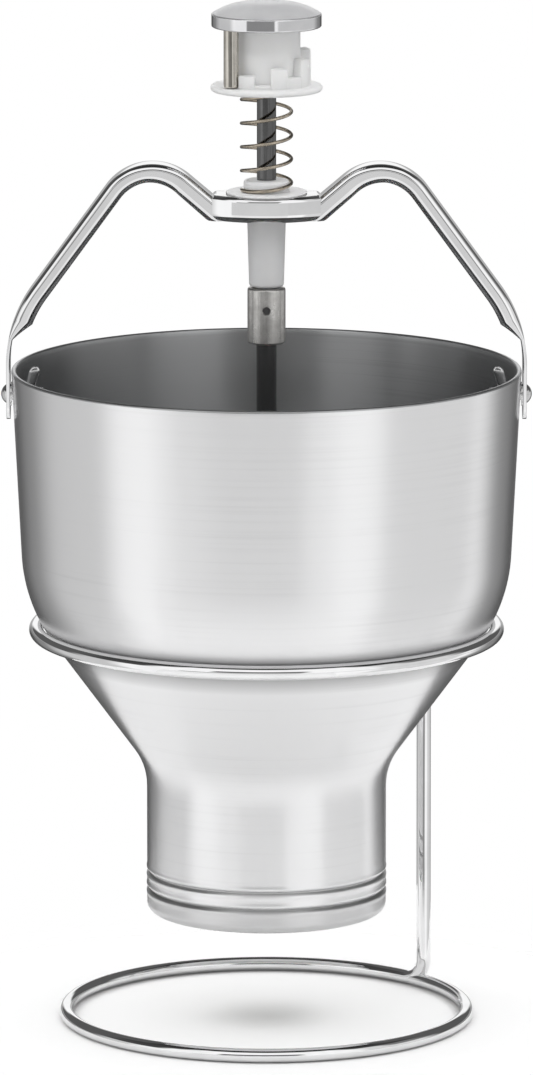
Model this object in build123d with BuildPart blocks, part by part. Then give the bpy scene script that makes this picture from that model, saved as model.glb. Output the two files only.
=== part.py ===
from build123d import *
import math
import os

os.makedirs("parts", exist_ok=True)

# Batter dispenser: a spun hopper in a wire stand, with a hand plunger on a bail.
# Millimetres and degrees. Z is the hopper's axis, z = 0 is the table, the front is -Y.

# Clearances
running_clearance = 0.08  # a sliding rod or plunger in its bore, each side
fit_clearance = 0.05  # a piece fixed in its seat, each side
seat_gap = 0.3  # pieces that rest against each other but come apart

# Wire stand
wire_diameter = 6.0
base_ring_diameter = 168.0  # to the middle of the wire
post_angle = 38.0  # the post's place on the base ring, behind the right-hand side
post_bend_radius = 9.0
bearing_angle = 30.2  # slope below level at which the hopper's shoulder bears on the ring
weld_depth = 0.8  # how far the post's coped end reaches up round the support ring

# Hopper
rim_diameter = 212.0
hopper_wall = 2.0
rim_chamfer = 0.5
barrel_depth = 98.0  # from the rim down to where barrel and funnel lines cross
barrel_taper = 2.9
shoulder_radius = 66.0
funnel_angle = 36.4  # from the axis
throat_radius = 28.0
neck_diameter = 100.0
neck_length = 62.5  # from where funnel and neck lines cross down to the neck's end
neck_edge_radius = 4.0
neck_clearance = 46.0  # under the neck, to the table
groove_heights = (10.3, 17.5)  # of the two rolled grooves, above the neck's end
groove_depth = 1.0

# Nozzle and plunger
bore_diameter = 46.0
mouth_projection = 2.5  # the mouth hangs this far below the neck
mouth_wall = 8.0
insert_slope = 40.0  # of the insert's own funnel, from level
insert_lip = 2.0
plunger_stroke = 32.0
charge_gap = 6.0  # between piston and bore at rest, where batter flows in
end_cushion = 2.5  # of bore left under the piston at full stroke
disc_clearance = 0.15
disc_edge = 2.5
disc_height = 6.0
piston_edge = 9.0
piston_height = 14.0
seal_section = 3.0
seal_height = 4.5  # middle of the seal above the piston's lower face
stem_diameter = 12.0
stud_diameter = 6.0
nut_width = 10.0
nut_height = 3.5
nut_dome = 2.5

# Rods and coupling
lower_rod_diameter = 8.5
upper_rod_diameter = 8.0
coupling_diameter = 15.8
coupling_length = 23.3
coupling_chamfer = 1.0
coupling_screw_diameter = 2.9
coupling_screw_drop = 9.0  # below the coupling's upper end
coupling_screw_recess = 0.8

# Bail
sheet = 1.6
bridge_rise = 73.5  # the bridge's top above the rim
bridge_length = 44.8
bridge_width = 31.5
bridge_depth = 10.7
bridge_edge_radius = 2.0
arm_width = 15.0
arm_depth = 7.0
arm_edge_radius = 1.8
arm_roll_radius = 3.2  # where a side rolls in to its lip
arm_lip = 1.5
arm_root_drop = 2.9  # where an arm leaves the bridge, below the bridge's top
crest_offset = 51.3  # of the corner over which an arm turns down, from the axis
crest_rise = 23.1  # of that corner above the bridge's top
crest_radius = 24.0
tab_corner_rise = 20.0  # of the corner where an arm becomes a tab, above the rim
tab_bend_radius = 55.0
channel_turn = 15.0  # the channel's sides go this far round the bend to the tab
tab_drop = 10.7  # the tab's end below its screw

# Screws that hold the bail
pivot_drop = 10.5  # below the rim
pivot_screw_diameter = 5.0
pivot_head_diameter = 8.0
pivot_head_height = 2.3
pivot_washer_diameter = 10.0
pivot_washer_thickness = 1.0
wing_nut_hub_diameter = 9.0
wing_nut_hub_height = 5.0
wing_span = 23.0
wing_reach = 8.5  # of the wings along the screw, from the nut's seat
wing_thickness = 2.6
screw_end = 2.0  # of thread past the wing nut's hub

# Guide bush
bush_flange_diameter = 33.6
bush_flange_thickness = 0.9
bush_boss_diameter = 19.0
bush_boss_height = 4.9
bush_boss_edge = 1.4
sleeve_diameter = 16.0
sleeve_end_diameter = 14.4
sleeve_length = 38.9  # below the bridge's top
retaining_ring_width = 4.5
retaining_ring_thickness = 1.2

# Return spring
spring_height = 41.9  # from the bush's flange to the underside of the dial
spring_wire = 1.5
spring_diameter = 22.1
spring_pitch = 9.9
spring_pocket_depth = 3.0

# Thickness dial
dial_flange_diameter = 46.2
dial_flange_thickness = 2.7
dial_flange_edge = 1.1
dial_hub_diameter = 28.0
dial_hub_height = 23.5
dial_step_diameter = 36.8
dial_notch_count = 6
dial_notch_spacing = 45.0
dial_notch_clearance = 0.15
dial_first_rise = 1.5  # of the second notch's floor above the first
dial_rise = 3.0  # of each later floor above the one before
dial_tooth_height = 4.0  # of each step's top above the notch that follows it
dial_end_wall = 25.0  # sweep of the wall behind the last notch
dial_tooth_edge = 0.7

# Push knob and stop pin
knob_gap = 0.5  # over the dial's hub
knob_diameter = 45.6
knob_band = 5.4
knob_height = 10.4
knob_flat_diameter = 11.4
knob_lower_edge = 1.5
knob_upper_edge = 1.2
knob_rod_depth = 4.2
knob_screw_head_diameter = 9.6
knob_screw_diameter = 4.0
knob_screw_length = 16.0
stop_pin_diameter = 6.2
stop_pin_offset = 19.0  # from the axis
stop_pin_angle = -140.0  # from +X, seen from above
stop_pin_depth = 3.5  # into the knob

# Hopper lines, from the neck's end up to the rim
rim_radius = rim_diameter / 2
neck_radius = neck_diameter / 2
taper = math.radians(barrel_taper)
funnel = math.radians(funnel_angle)
neck_end_z = neck_clearance
neck_floor_z = neck_end_z + hopper_wall
throat_z = neck_end_z + neck_length
shoulder_x = rim_radius - barrel_depth * math.tan(taper)
shoulder_z = throat_z + (shoulder_x - neck_radius) / math.tan(funnel)
rim_z = shoulder_z + barrel_depth

# Centre of the shoulder's round, on the line that halves the corner
half_turn = (funnel - taper) / 2
corner_reach = shoulder_radius / math.cos(half_turn)
halving_angle = (funnel + taper) / 2
shoulder_centre_x = shoulder_x - corner_reach * math.cos(halving_angle)
shoulder_centre_z = shoulder_z + corner_reach * math.sin(halving_angle)

# The support ring lies against that round
wire_radius = wire_diameter / 2
bearing = math.radians(bearing_angle)
bearing_reach = shoulder_radius + wire_radius + seat_gap
support_ring_radius = shoulder_centre_x + bearing_reach * math.cos(bearing)
support_ring_z = shoulder_centre_z - bearing_reach * math.sin(bearing)

# Levels up the plunger
mouth_z = neck_end_z - mouth_projection
bore_length = plunger_stroke - charge_gap + end_cushion
bore_top_z = mouth_z + bore_length
disc_top_z = mouth_z + disc_height
piston_z = bore_top_z + charge_gap
piston_top_z = piston_z + piston_height
pivot_z = rim_z - pivot_drop
bridge_z = rim_z + bridge_rise
bush_seat_z = bridge_z + bush_flange_thickness
sleeve_end_z = bridge_z - sleeve_length
coupling_top_z = sleeve_end_z - seat_gap
coupling_end_z = coupling_top_z - coupling_length
coupling_middle_z = (coupling_top_z + coupling_end_z) / 2
dial_z = bush_seat_z + spring_height
dial_flange_z = dial_z + dial_flange_thickness
dial_top_z = dial_flange_z + dial_hub_height
knob_z = dial_top_z + knob_gap
knob_top_z = knob_z + knob_height

# Shared radii
bore_radius = bore_diameter / 2
plunger_radius = bore_radius - disc_clearance
stud_radius = stud_diameter / 2
stud_bore = stud_radius + fit_clearance
upper_rod_radius = upper_rod_diameter / 2
upper_rod_bore = upper_rod_radius + running_clearance
tab_inner_x = rim_radius + seat_gap
tab_outer_x = tab_inner_x + sheet
pivot_wall_x = rim_radius - pivot_drop * math.tan(taper)
pivot_axis = Axis((0, 0, pivot_z), (1, 0, 0))
screw_hole_radius = pivot_screw_diameter / 2 + fit_clearance


# Base ring and post: one wire, bent round on the table, turned up at the back and welded to itself
bend_run = 1.25 * post_bend_radius
foot_radius = math.hypot(base_ring_diameter / 2, bend_run)
foot_direction = math.radians(post_angle)
foot = Vector(foot_radius * math.cos(foot_direction), foot_radius * math.sin(foot_direction), wire_radius)
ring_start_angle = post_angle + math.degrees(math.atan2(bend_run, base_ring_diameter / 2))
ring_start = Vector(base_ring_diameter / 2, 0, wire_radius).rotate(Axis.Z, ring_start_angle)
post_head = Vector(foot.X, math.sqrt(support_ring_radius**2 - foot.X**2), support_ring_z)
post_direction = (post_head - foot).normalized()
post_end = post_head - post_direction * (wire_radius - weld_depth)
butt_sweep = math.degrees(0.5 * bend_run / foot_radius)  # the ring's far end stops inside the bend

with BuildPart() as stand_base_wire:
    with BuildLine() as bent_wire:
        FilletPolyline(post_end, foot, ring_start, radius=post_bend_radius)
        with BuildLine(Plane.XY.offset(wire_radius)):
            CenterArc((0, 0), base_ring_diameter / 2, ring_start_angle, 180)
    with BuildSketch(Plane(origin=post_end, z_dir=-post_direction)):
        Circle(wire_radius)
    sweep(path=bent_wire.wire())
    with BuildLine(Plane.XY.offset(wire_radius)) as closing_wire:
        CenterArc((0, 0), base_ring_diameter / 2, ring_start_angle + 180, 180 - butt_sweep)
    with BuildSketch(Plane(origin=closing_wire.line @ 0, z_dir=closing_wire.line % 0)):
        Circle(wire_radius)
    sweep(path=closing_wire.wire())
    with BuildSketch(Plane.XZ):
        with Locations((support_ring_radius, support_ring_z)):
            Circle(wire_radius + fit_clearance)
    revolve(axis=Axis.Z, mode=Mode.SUBTRACT)

stand_base_wire.part.label = "stand_base_wire"
export_step(stand_base_wire.part, "parts/stand_base_wire.step")


# Support ring: the hopper's shoulder sits in it
with BuildPart() as stand_support_ring:
    with BuildSketch(Plane.XZ):
        with Locations((support_ring_radius, support_ring_z)):
            Circle(wire_radius)
    revolve(axis=Axis.Z)

stand_support_ring.part.label = "stand_support_ring"
export_step(stand_support_ring.part, "parts/stand_support_ring.step")


# Hopper: one sheet spun into barrel, shoulder, funnel and neck, turned in at the neck's end
mouth_radius = bore_radius + mouth_wall
insert_radius = neck_radius - hopper_wall - fit_clearance

with BuildPart() as hopper_shell:
    with BuildSketch(Plane.XZ):
        with BuildLine():
            FilletPolyline(
                (rim_radius, rim_z),
                (shoulder_x, shoulder_z),
                (neck_radius, throat_z),
                (neck_radius, neck_end_z),
                (mouth_radius + fit_clearance, neck_end_z),
                radius=[shoulder_radius, throat_radius, neck_edge_radius],
            )
            offset(amount=hopper_wall, side=Side.RIGHT)
        make_face()
    revolve(axis=Axis.Z)
    with BuildSketch(Plane.XZ):
        for height in groove_heights:
            with Locations((neck_radius - hopper_wall, neck_end_z + height)):
                RegularPolygon(groove_depth, 4)
    revolve(axis=Axis.Z)
    with BuildSketch(Plane.XZ):
        for height in groove_heights:
            with Locations((neck_radius, neck_end_z + height)):
                RegularPolygon(groove_depth, 4)
    revolve(axis=Axis.Z, mode=Mode.SUBTRACT)
    rim_edges = hopper_shell.edges().filter_by(GeomType.CIRCLE).sort_by(Axis.Z)[-2:]
    chamfer(rim_edges, length=rim_chamfer)
    with BuildSketch(Plane.YZ):
        with Locations((0, pivot_z)):
            Circle(screw_hole_radius)
    extrude(amount=rim_radius, both=True, mode=Mode.SUBTRACT)

hopper_shell.part.label = "hopper_shell"
export_step(hopper_shell.part, "parts/hopper_shell.step")


# Nozzle insert: a moulded funnel and bore, held in the neck by the two rolled grooves
insert_corner = neck_edge_radius
insert_top_z = bore_top_z + (insert_radius - insert_lip - bore_radius) * math.tan(math.radians(insert_slope))

with BuildPart() as nozzle_insert:
    with BuildSketch(Plane.XZ):
        with BuildLine():
            Polyline(
                (bore_radius, mouth_z),
                (mouth_radius, mouth_z),
                (mouth_radius, neck_floor_z),
                (insert_radius - insert_corner, neck_floor_z),
                (insert_radius, neck_floor_z + insert_corner),
                (insert_radius, insert_top_z),
                (insert_radius - insert_lip, insert_top_z),
                (bore_radius, bore_top_z),
                close=True,
            )
        make_face()
        for height in groove_heights:
            with Locations((neck_radius - hopper_wall, neck_end_z + height)):
                RegularPolygon(groove_depth + 2 * fit_clearance, 4, mode=Mode.SUBTRACT)
    revolve(axis=Axis.Z)

nozzle_insert.part.label = "nozzle_insert"
export_step(nozzle_insert.part, "parts/nozzle_insert.step")


# Forming disc: shuts the mouth at rest and makes the hole of the ring of batter
stem_radius = stem_diameter / 2

with BuildPart() as forming_disc:
    with BuildSketch(Plane.XZ):
        with BuildLine():
            Polyline(
                (stud_bore, mouth_z),
                (plunger_radius, mouth_z),
                (plunger_radius, mouth_z + disc_edge),
                (stem_radius, disc_top_z),
                (stud_bore, disc_top_z),
                close=True,
            )
        make_face()
    revolve(axis=Axis.Z)

forming_disc.part.label = "forming_disc"
export_step(forming_disc.part, "parts/forming_disc.step")


# Stem spacer: the tube that keeps disc and piston apart
with BuildPart() as stem_spacer:
    with BuildSketch(Plane.XY.offset(disc_top_z)):
        Circle(stem_radius)
        Circle(stud_bore, mode=Mode.SUBTRACT)
    extrude(amount=piston_z - disc_top_z)

stem_spacer.part.label = "stem_spacer"
export_step(stem_spacer.part, "parts/stem_spacer.step")


# Piston, with a groove for its seal and a coned top that sheds batter
seal_z = piston_z + seal_height
seal_ring_radius = bore_radius - running_clearance - seal_section / 2
seal_groove_radius = seal_ring_radius - seal_section / 2 - fit_clearance
seal_groove_height = seal_section + 2 * fit_clearance
piston_hub_radius = stem_radius + sheet

with BuildPart() as piston:
    with BuildSketch(Plane.XZ):
        with BuildLine():
            Polyline(
                (stud_bore, piston_z),
                (plunger_radius, piston_z),
                (plunger_radius, piston_z + piston_edge),
                (piston_hub_radius, piston_top_z),
                (stud_bore, piston_top_z),
                close=True,
            )
        make_face()
        with Locations((seal_groove_radius, seal_z)):
            Rectangle(
                bore_radius,
                seal_groove_height,
                align=(Align.MIN, Align.CENTER),
                mode=Mode.SUBTRACT,
            )
    revolve(axis=Axis.Z)

piston.part.label = "piston"
export_step(piston.part, "parts/piston.step")


# Piston seal: a rubber ring of square section
with BuildPart() as piston_seal:
    with BuildSketch(Plane.XZ):
        with Locations((seal_ring_radius, seal_z)):
            Rectangle(seal_section, seal_section)
    revolve(axis=Axis.Z)

piston_seal.part.label = "piston_seal"
export_step(piston_seal.part, "parts/piston_seal.step")


# Plunger nut: domed, under the forming disc
nut_end_z = mouth_z - nut_height
nut_corner_radius = nut_width / math.sqrt(3)

with BuildPart() as plunger_nut:
    with BuildSketch(Plane.XY.offset(mouth_z)):
        RegularPolygon(nut_corner_radius, 6)
    extrude(amount=-nut_height)
    with BuildSketch(Plane.XZ):
        with BuildLine():
            Polyline((0, nut_end_z - nut_dome), (0, nut_end_z), (nut_width / 2, nut_end_z))
            TangentArc((0, nut_end_z - nut_dome), (nut_width / 2, nut_end_z), tangent=(1, 0))
        make_face()
    revolve(axis=Axis.Z)
    with BuildSketch(Plane.XY.offset(mouth_z)):
        Circle(stud_bore)
    extrude(amount=-nut_height, mode=Mode.SUBTRACT)

plunger_nut.part.label = "plunger_nut"
export_step(plunger_nut.part, "parts/plunger_nut.step")


# Lower rod: black, stepped to a stud that carries disc, stem, piston and nut
lower_rod_radius = lower_rod_diameter / 2
lower_rod_top_z = coupling_middle_z - seat_gap

with BuildPart() as lower_rod:
    with BuildSketch(Plane.XY.offset(piston_top_z)):
        Circle(lower_rod_radius)
    extrude(amount=lower_rod_top_z - piston_top_z)
    with BuildSketch(Plane.XY.offset(piston_top_z)):
        Circle(stud_radius)
    extrude(amount=nut_end_z + seat_gap - piston_top_z)

lower_rod.part.label = "lower_rod"
export_step(lower_rod.part, "parts/lower_rod.step")


# Upper rod: steel, through the bush and the dial to the knob, tapped at its top
upper_rod_top_z = knob_z + knob_rod_depth
knob_screw_radius = knob_screw_diameter / 2
knob_screw_end_z = knob_top_z - knob_screw_length

with BuildPart() as upper_rod:
    with BuildSketch(Plane.XY.offset(coupling_middle_z)):
        Circle(upper_rod_radius)
    extrude(amount=upper_rod_top_z - coupling_middle_z)
    with BuildSketch(Plane.XY.offset(upper_rod_top_z)):
        Circle(knob_screw_radius + fit_clearance)
    extrude(amount=knob_screw_end_z - seat_gap - upper_rod_top_z, mode=Mode.SUBTRACT)

upper_rod.part.label = "upper_rod"
export_step(upper_rod.part, "parts/upper_rod.step")


# Coupling: a steel collar that joins the rods and stops against the bush's sleeve
coupling_radius = coupling_diameter / 2
coupling_screw_radius = coupling_screw_diameter / 2
coupling_screw_z = coupling_top_z - coupling_screw_drop
front_of_coupling = Plane(
    origin=(0, -coupling_radius, coupling_screw_z), x_dir=(1, 0, 0), z_dir=(0, -1, 0)
)

with BuildPart() as rod_coupling:
    with BuildSketch(Plane.XY.offset(coupling_end_z)):
        Circle(coupling_radius)
    extrude(amount=coupling_length)
    end_edges = rod_coupling.edges().filter_by(GeomType.CIRCLE)
    chamfer(end_edges.sort_by(Axis.Z)[-1], length=coupling_chamfer)
    chamfer(end_edges.sort_by(Axis.Z)[0], length=coupling_chamfer / 2)
    with BuildSketch(Plane.XY.offset(coupling_end_z)):
        Circle(lower_rod_radius + fit_clearance)
    extrude(amount=coupling_middle_z - coupling_end_z, mode=Mode.SUBTRACT)
    with BuildSketch(Plane.XY.offset(coupling_middle_z)):
        Circle(upper_rod_radius + fit_clearance)
    extrude(amount=coupling_top_z - coupling_middle_z, mode=Mode.SUBTRACT)
    with BuildSketch(front_of_coupling):
        Circle(coupling_screw_radius + fit_clearance)
    extrude(amount=-coupling_radius, mode=Mode.SUBTRACT)

rod_coupling.part.label = "rod_coupling"
export_step(rod_coupling.part, "parts/rod_coupling.step")


# Coupling screw: sunk in the collar's front, bears on the upper rod
with BuildPart() as coupling_screw:
    with BuildSketch(front_of_coupling.offset(-coupling_screw_recess)):
        Circle(coupling_screw_radius)
    extrude(amount=upper_rod_radius + fit_clearance + coupling_screw_recess - coupling_radius)

coupling_screw.part.label = "coupling_screw"
export_step(coupling_screw.part, "parts/coupling_screw.step")


# Bail: one pressed strip, with a hollow bridge that widens in the middle, channel arms and two flat tabs
bridge_end_x = bridge_length / 2
bridge_end_z = bridge_z - bridge_depth
arm_root = Vector(bridge_end_x, 0, bridge_z - arm_root_drop)
crest = Vector(crest_offset, 0, bridge_z + crest_rise)
tab_corner = Vector(tab_outer_x, 0, rim_z + tab_corner_rise)
arm_rise = (crest - arm_root).normalized()
arm_fall = (tab_corner - crest).normalized()
arm_start = arm_root - arm_rise * arm_depth
tab_turn = arm_fall.get_angle(Vector(0, 0, -1))
bend_reach = tab_bend_radius * math.tan(math.radians(tab_turn / 2))
bend_start = tab_corner - arm_fall * bend_reach
bend_end = tab_corner - Vector(0, 0, bend_reach)
tab_round_z = pivot_z - tab_drop + arm_width / 2
tab_end = Vector(tab_outer_x, 0, tab_round_z)
bush_hole_radius = sleeve_diameter / 2 + fit_clearance
root_gap_height = bridge_depth - arm_root_drop - 2 * sheet

with BuildPart() as bail_handle:
    with BuildSketch(Plane.XY.offset(bridge_z)) as bridge_plan:
        with BuildLine():
            front_side = ThreePointArc(
                (-bridge_end_x, -arm_width / 2), (0, -bridge_width / 2), (bridge_end_x, -arm_width / 2)
            )
            back_side = ThreePointArc(
                (bridge_end_x, arm_width / 2), (0, bridge_width / 2), (-bridge_end_x, arm_width / 2)
            )
            Line(front_side @ 1, back_side @ 0)
            Line(back_side @ 1, front_side @ 0)
        make_face()
    extrude(amount=-bridge_depth)
    bridge_edges = bail_handle.edges().group_by(Axis.Z)
    fillet(bridge_edges[0] + bridge_edges[-1], radius=bridge_edge_radius)
    with BuildLine(Plane.XZ) as arm_line:
        FilletPolyline(arm_start, crest, bend_start, radius=crest_radius)
        channel_bend = JernArc(bend_start, arm_fall, tab_bend_radius, -channel_turn)
    channel_end = channel_bend @ 1
    channel_heading = channel_bend % 1
    with BuildSketch(Plane(origin=arm_line.line @ 0, x_dir=(0, 1, 0), z_dir=arm_line.line % 0)) as channel:
        with Locations((0, -arm_depth / 2)):
            Rectangle(arm_width, arm_depth)
        fillet(channel.vertices().group_by(Axis.Y)[-1], radius=arm_edge_radius)
        fillet(channel.vertices().group_by(Axis.Y)[0], radius=arm_roll_radius)
        with Locations((0, -arm_depth / 2)):
            Rectangle(arm_width - 2 * sheet, arm_depth - 2 * sheet, mode=Mode.SUBTRACT)
        with Locations((0, -arm_depth)):
            Rectangle(arm_width - 2 * (sheet + arm_lip), 3 * sheet, mode=Mode.SUBTRACT)
    sweep(path=arm_line.wire())
    with BuildLine(Plane.XZ) as tab_line:
        JernArc(channel_end, channel_heading, tab_bend_radius, channel_turn - tab_turn)
        Line(bend_end, tab_end)
    with BuildSketch(Plane(origin=channel_end, x_dir=(0, 1, 0), z_dir=channel_heading)):
        Rectangle(arm_width, sheet, align=(Align.CENTER, Align.MAX))
    sweep(path=tab_line.wire())
    with BuildSketch(Plane.YZ.offset(tab_inner_x)):
        with Locations((0, tab_round_z)):
            Circle(arm_width / 2)
    extrude(amount=sheet)
    with BuildSketch(Plane.YZ.offset(tab_inner_x)):
        with Locations((0, pivot_z)):
            Circle(screw_hole_radius)
    extrude(amount=sheet, mode=Mode.SUBTRACT)
    mirror(about=Plane.YZ)
    with BuildSketch(Plane.XY.offset(bridge_end_z)):
        Rectangle(2 * crest_offset, bridge_width)
    extrude(amount=-arm_depth, mode=Mode.SUBTRACT)
    with BuildSketch(Plane.XY.offset(bridge_z - sheet)):
        offset(bridge_plan.sketch, amount=-sheet)
    extrude(amount=2 * sheet - bridge_depth, mode=Mode.SUBTRACT)
    with BuildSketch(Plane.XY.offset(bridge_end_z)):
        offset(bridge_plan.sketch, amount=-sheet - arm_lip)
        Rectangle(bridge_length, arm_width - 2 * (sheet + arm_lip))
    extrude(amount=root_gap_height, mode=Mode.SUBTRACT)
    with BuildSketch(Plane.XY.offset(bridge_z)):
        Circle(bush_hole_radius)
    extrude(amount=-sheet, mode=Mode.SUBTRACT)

bail_handle.part.label = "bail_handle"
export_step(bail_handle.part, "parts/bail_handle.step")


# Pivot spacers: thin washers between the tabs and the hopper's wall
wall_tilt = math.tan(taper) * pivot_washer_diameter / 2  # the wall leans this much across a washer's half
spacer_inner_x = pivot_wall_x + wall_tilt + fit_clearance

with BuildPart() as pivot_spacers:
    with BuildSketch(Plane.YZ.offset(tab_inner_x)):
        with Locations((0, pivot_z)):
            Circle(pivot_washer_diameter / 2)
            Circle(screw_hole_radius, mode=Mode.SUBTRACT)
    extrude(amount=spacer_inner_x - tab_inner_x)
    mirror(about=Plane.YZ)

pivot_spacers.part.label = "pivot_spacers"
export_step(pivot_spacers.part, "parts/pivot_spacers.step")


# Pivot washers: inside the wall, under the wing nuts
wall_sag = pivot_washer_diameter**2 / (8 * neck_radius)  # room for the wall's curve
pivot_washer_x = pivot_wall_x - hopper_wall - wall_sag - wall_tilt
wing_seat_x = pivot_washer_x - pivot_washer_thickness

with BuildPart() as pivot_washers:
    with BuildSketch(Plane.YZ.offset(wing_seat_x)):
        with Locations((0, pivot_z)):
            Circle(pivot_washer_diameter / 2)
            Circle(screw_hole_radius, mode=Mode.SUBTRACT)
    extrude(amount=pivot_washer_thickness)
    mirror(about=Plane.YZ)

pivot_washers.part.label = "pivot_washers"
export_step(pivot_washers.part, "parts/pivot_washers.step")


# Wing nuts: a coned hub with two upright wings
wing_tip_radius = 0.45 * wing_reach / 2
wing_tip_z = pivot_z + wing_span / 2
hub_radius = wing_nut_hub_diameter / 2
hub_end_x = wing_seat_x - wing_nut_hub_height
wing_end_x = wing_seat_x - wing_reach

with BuildPart() as wing_nuts:
    with BuildSketch(Plane.XZ):
        with BuildLine():
            Polyline(
                (wing_seat_x, pivot_z),
                (wing_seat_x, pivot_z + hub_radius),
                (hub_end_x, pivot_z + 0.8 * hub_radius),
                (hub_end_x, pivot_z),
                close=True,
            )
        make_face()
    revolve(axis=pivot_axis)
    with BuildSketch(Plane.XZ) as wing:
        with BuildLine():
            FilletPolyline(
                (wing_seat_x - sheet, pivot_z),
                (wing_seat_x - sheet, pivot_z + hub_radius),
                (wing_seat_x - 0.4 * wing_reach, wing_tip_z),
                (wing_end_x, wing_tip_z),
                (hub_end_x, pivot_z),
                radius=[sheet, wing_tip_radius, wing_tip_radius],
            )
            Line((hub_end_x, pivot_z), (wing_seat_x - sheet, pivot_z))
        make_face()
        mirror(about=Plane((0, pivot_z), z_dir=(0, 1, 0)))
    extrude(amount=wing_thickness / 2, both=True)
    with BuildSketch(Plane.YZ.offset(wing_seat_x)):
        with Locations((0, pivot_z)):
            Circle(screw_hole_radius)
    extrude(amount=-wing_reach, mode=Mode.SUBTRACT)
    mirror(about=Plane.YZ)

wing_nuts.part.label = "wing_nuts"
export_step(wing_nuts.part, "parts/wing_nuts.step")


# Pivot screws: domed heads outside, thread through to the wing nuts
screw_tip_x = hub_end_x - screw_end
pivot_screw_radius = pivot_screw_diameter / 2
pivot_head_radius = pivot_head_diameter / 2
head_sphere_radius = (pivot_head_radius**2 + pivot_head_height**2) / (2 * pivot_head_height)

with BuildPart() as pivot_screws:
    with BuildSketch(Plane.XZ):
        with BuildLine():
            Polyline(
                (tab_outer_x + pivot_head_height, pivot_z),
                (screw_tip_x, pivot_z),
                (screw_tip_x, pivot_z + pivot_screw_radius),
                (tab_outer_x, pivot_z + pivot_screw_radius),
                (tab_outer_x, pivot_z + pivot_head_radius),
            )
            RadiusArc(
                (tab_outer_x, pivot_z + pivot_head_radius),
                (tab_outer_x + pivot_head_height, pivot_z),
                head_sphere_radius,
            )
        make_face()
    revolve(axis=pivot_axis)
    mirror(about=Plane.YZ)

pivot_screws.part.label = "pivot_screws"
export_step(pivot_screws.part, "parts/pivot_screws.step")


# Guide bush: plastic, flange and boss above the bridge, a long sleeve below it
sleeve_radius = sleeve_diameter / 2

with BuildPart() as guide_bush:
    with BuildSketch(Plane.XZ):
        with BuildLine():
            Polyline(
                (upper_rod_bore, bush_seat_z + bush_boss_height),
                (upper_rod_bore, sleeve_end_z),
                (sleeve_end_diameter / 2, sleeve_end_z),
                (sleeve_radius, bridge_end_z),
                (sleeve_radius, bridge_z),
                (bush_flange_diameter / 2, bridge_z),
                (bush_flange_diameter / 2, bush_seat_z),
                (bush_boss_diameter / 2, bush_seat_z),
                (bush_boss_diameter / 2, bush_seat_z + bush_boss_height),
                close=True,
            )
        make_face()
    revolve(axis=Axis.Z)
    boss_circles = guide_bush.edges().filter_by(GeomType.CIRCLE).group_by(Axis.Z)[-1]
    fillet(boss_circles.sort_by(SortBy.RADIUS)[-1], radius=bush_boss_edge)
    flange_circles = guide_bush.edges().filter_by(GeomType.CIRCLE).sort_by(SortBy.RADIUS)[-2:]
    chamfer(flange_circles.sort_by(Axis.Z)[-1], length=bush_flange_thickness / 4)

guide_bush.part.label = "guide_bush"
export_step(guide_bush.part, "parts/guide_bush.step")


# Retaining ring: on the sleeve, hidden in the bridge's hollow
with BuildPart() as bush_retaining_ring:
    with BuildSketch(Plane.XY.offset(bridge_z - sheet)):
        Circle(sleeve_radius + retaining_ring_width)
        Circle(sleeve_radius + fit_clearance, mode=Mode.SUBTRACT)
    extrude(amount=-retaining_ring_thickness)

bush_retaining_ring.part.label = "bush_retaining_ring"
export_step(bush_retaining_ring.part, "parts/bush_retaining_ring.step")


# Return spring: wire with open ends, from the bush's flange into the dial's pocket, drawn with eight flats
spring_radius = (spring_diameter - spring_wire) / 2
spring_start_z = bush_seat_z + spring_wire / 2 + fit_clearance
spring_end_z = dial_z + spring_pocket_depth - spring_wire / 2 - fit_clearance

with BuildPart() as return_spring:
    with BuildLine(Plane(origin=(0, 0, spring_start_z), x_dir=(-1, 0, 0))) as coil:
        Helix(pitch=spring_pitch, height=spring_end_z - spring_start_z, radius=spring_radius)
    with BuildSketch(Plane(origin=coil.line @ 0, z_dir=coil.line % 0)):
        RegularPolygon(spring_wire / 2, 8)
    sweep(path=coil.wire(), is_frenet=True)

return_spring.part.label = "return_spring"
export_step(return_spring.part, "parts/return_spring.step")


# Thickness dial: a flanged hub, ringed by steps with a notch in front of each for the stop pin
dial_hub_radius = dial_hub_diameter / 2
dial_step_radius = dial_step_diameter / 2
notch_width = stop_pin_diameter + 2 * dial_notch_clearance
floor_rises = [0] + [dial_first_rise + dial_rise * step for step in range(dial_notch_count - 1)]
notch_angles = [stop_pin_angle + dial_notch_spacing * notch for notch in range(dial_notch_count)]
tooth_tops = [rise + dial_tooth_height for rise in floor_rises[1:]]
tooth_tops.append(tooth_tops[-1] + dial_rise)
tooth_sweeps = [dial_notch_spacing] * (dial_notch_count - 1) + [dial_end_wall]


def beyond_hub(edge):
    middle = edge @ 0.5
    return math.hypot(middle.X, middle.Y) > dial_hub_radius + fit_clearance


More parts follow.
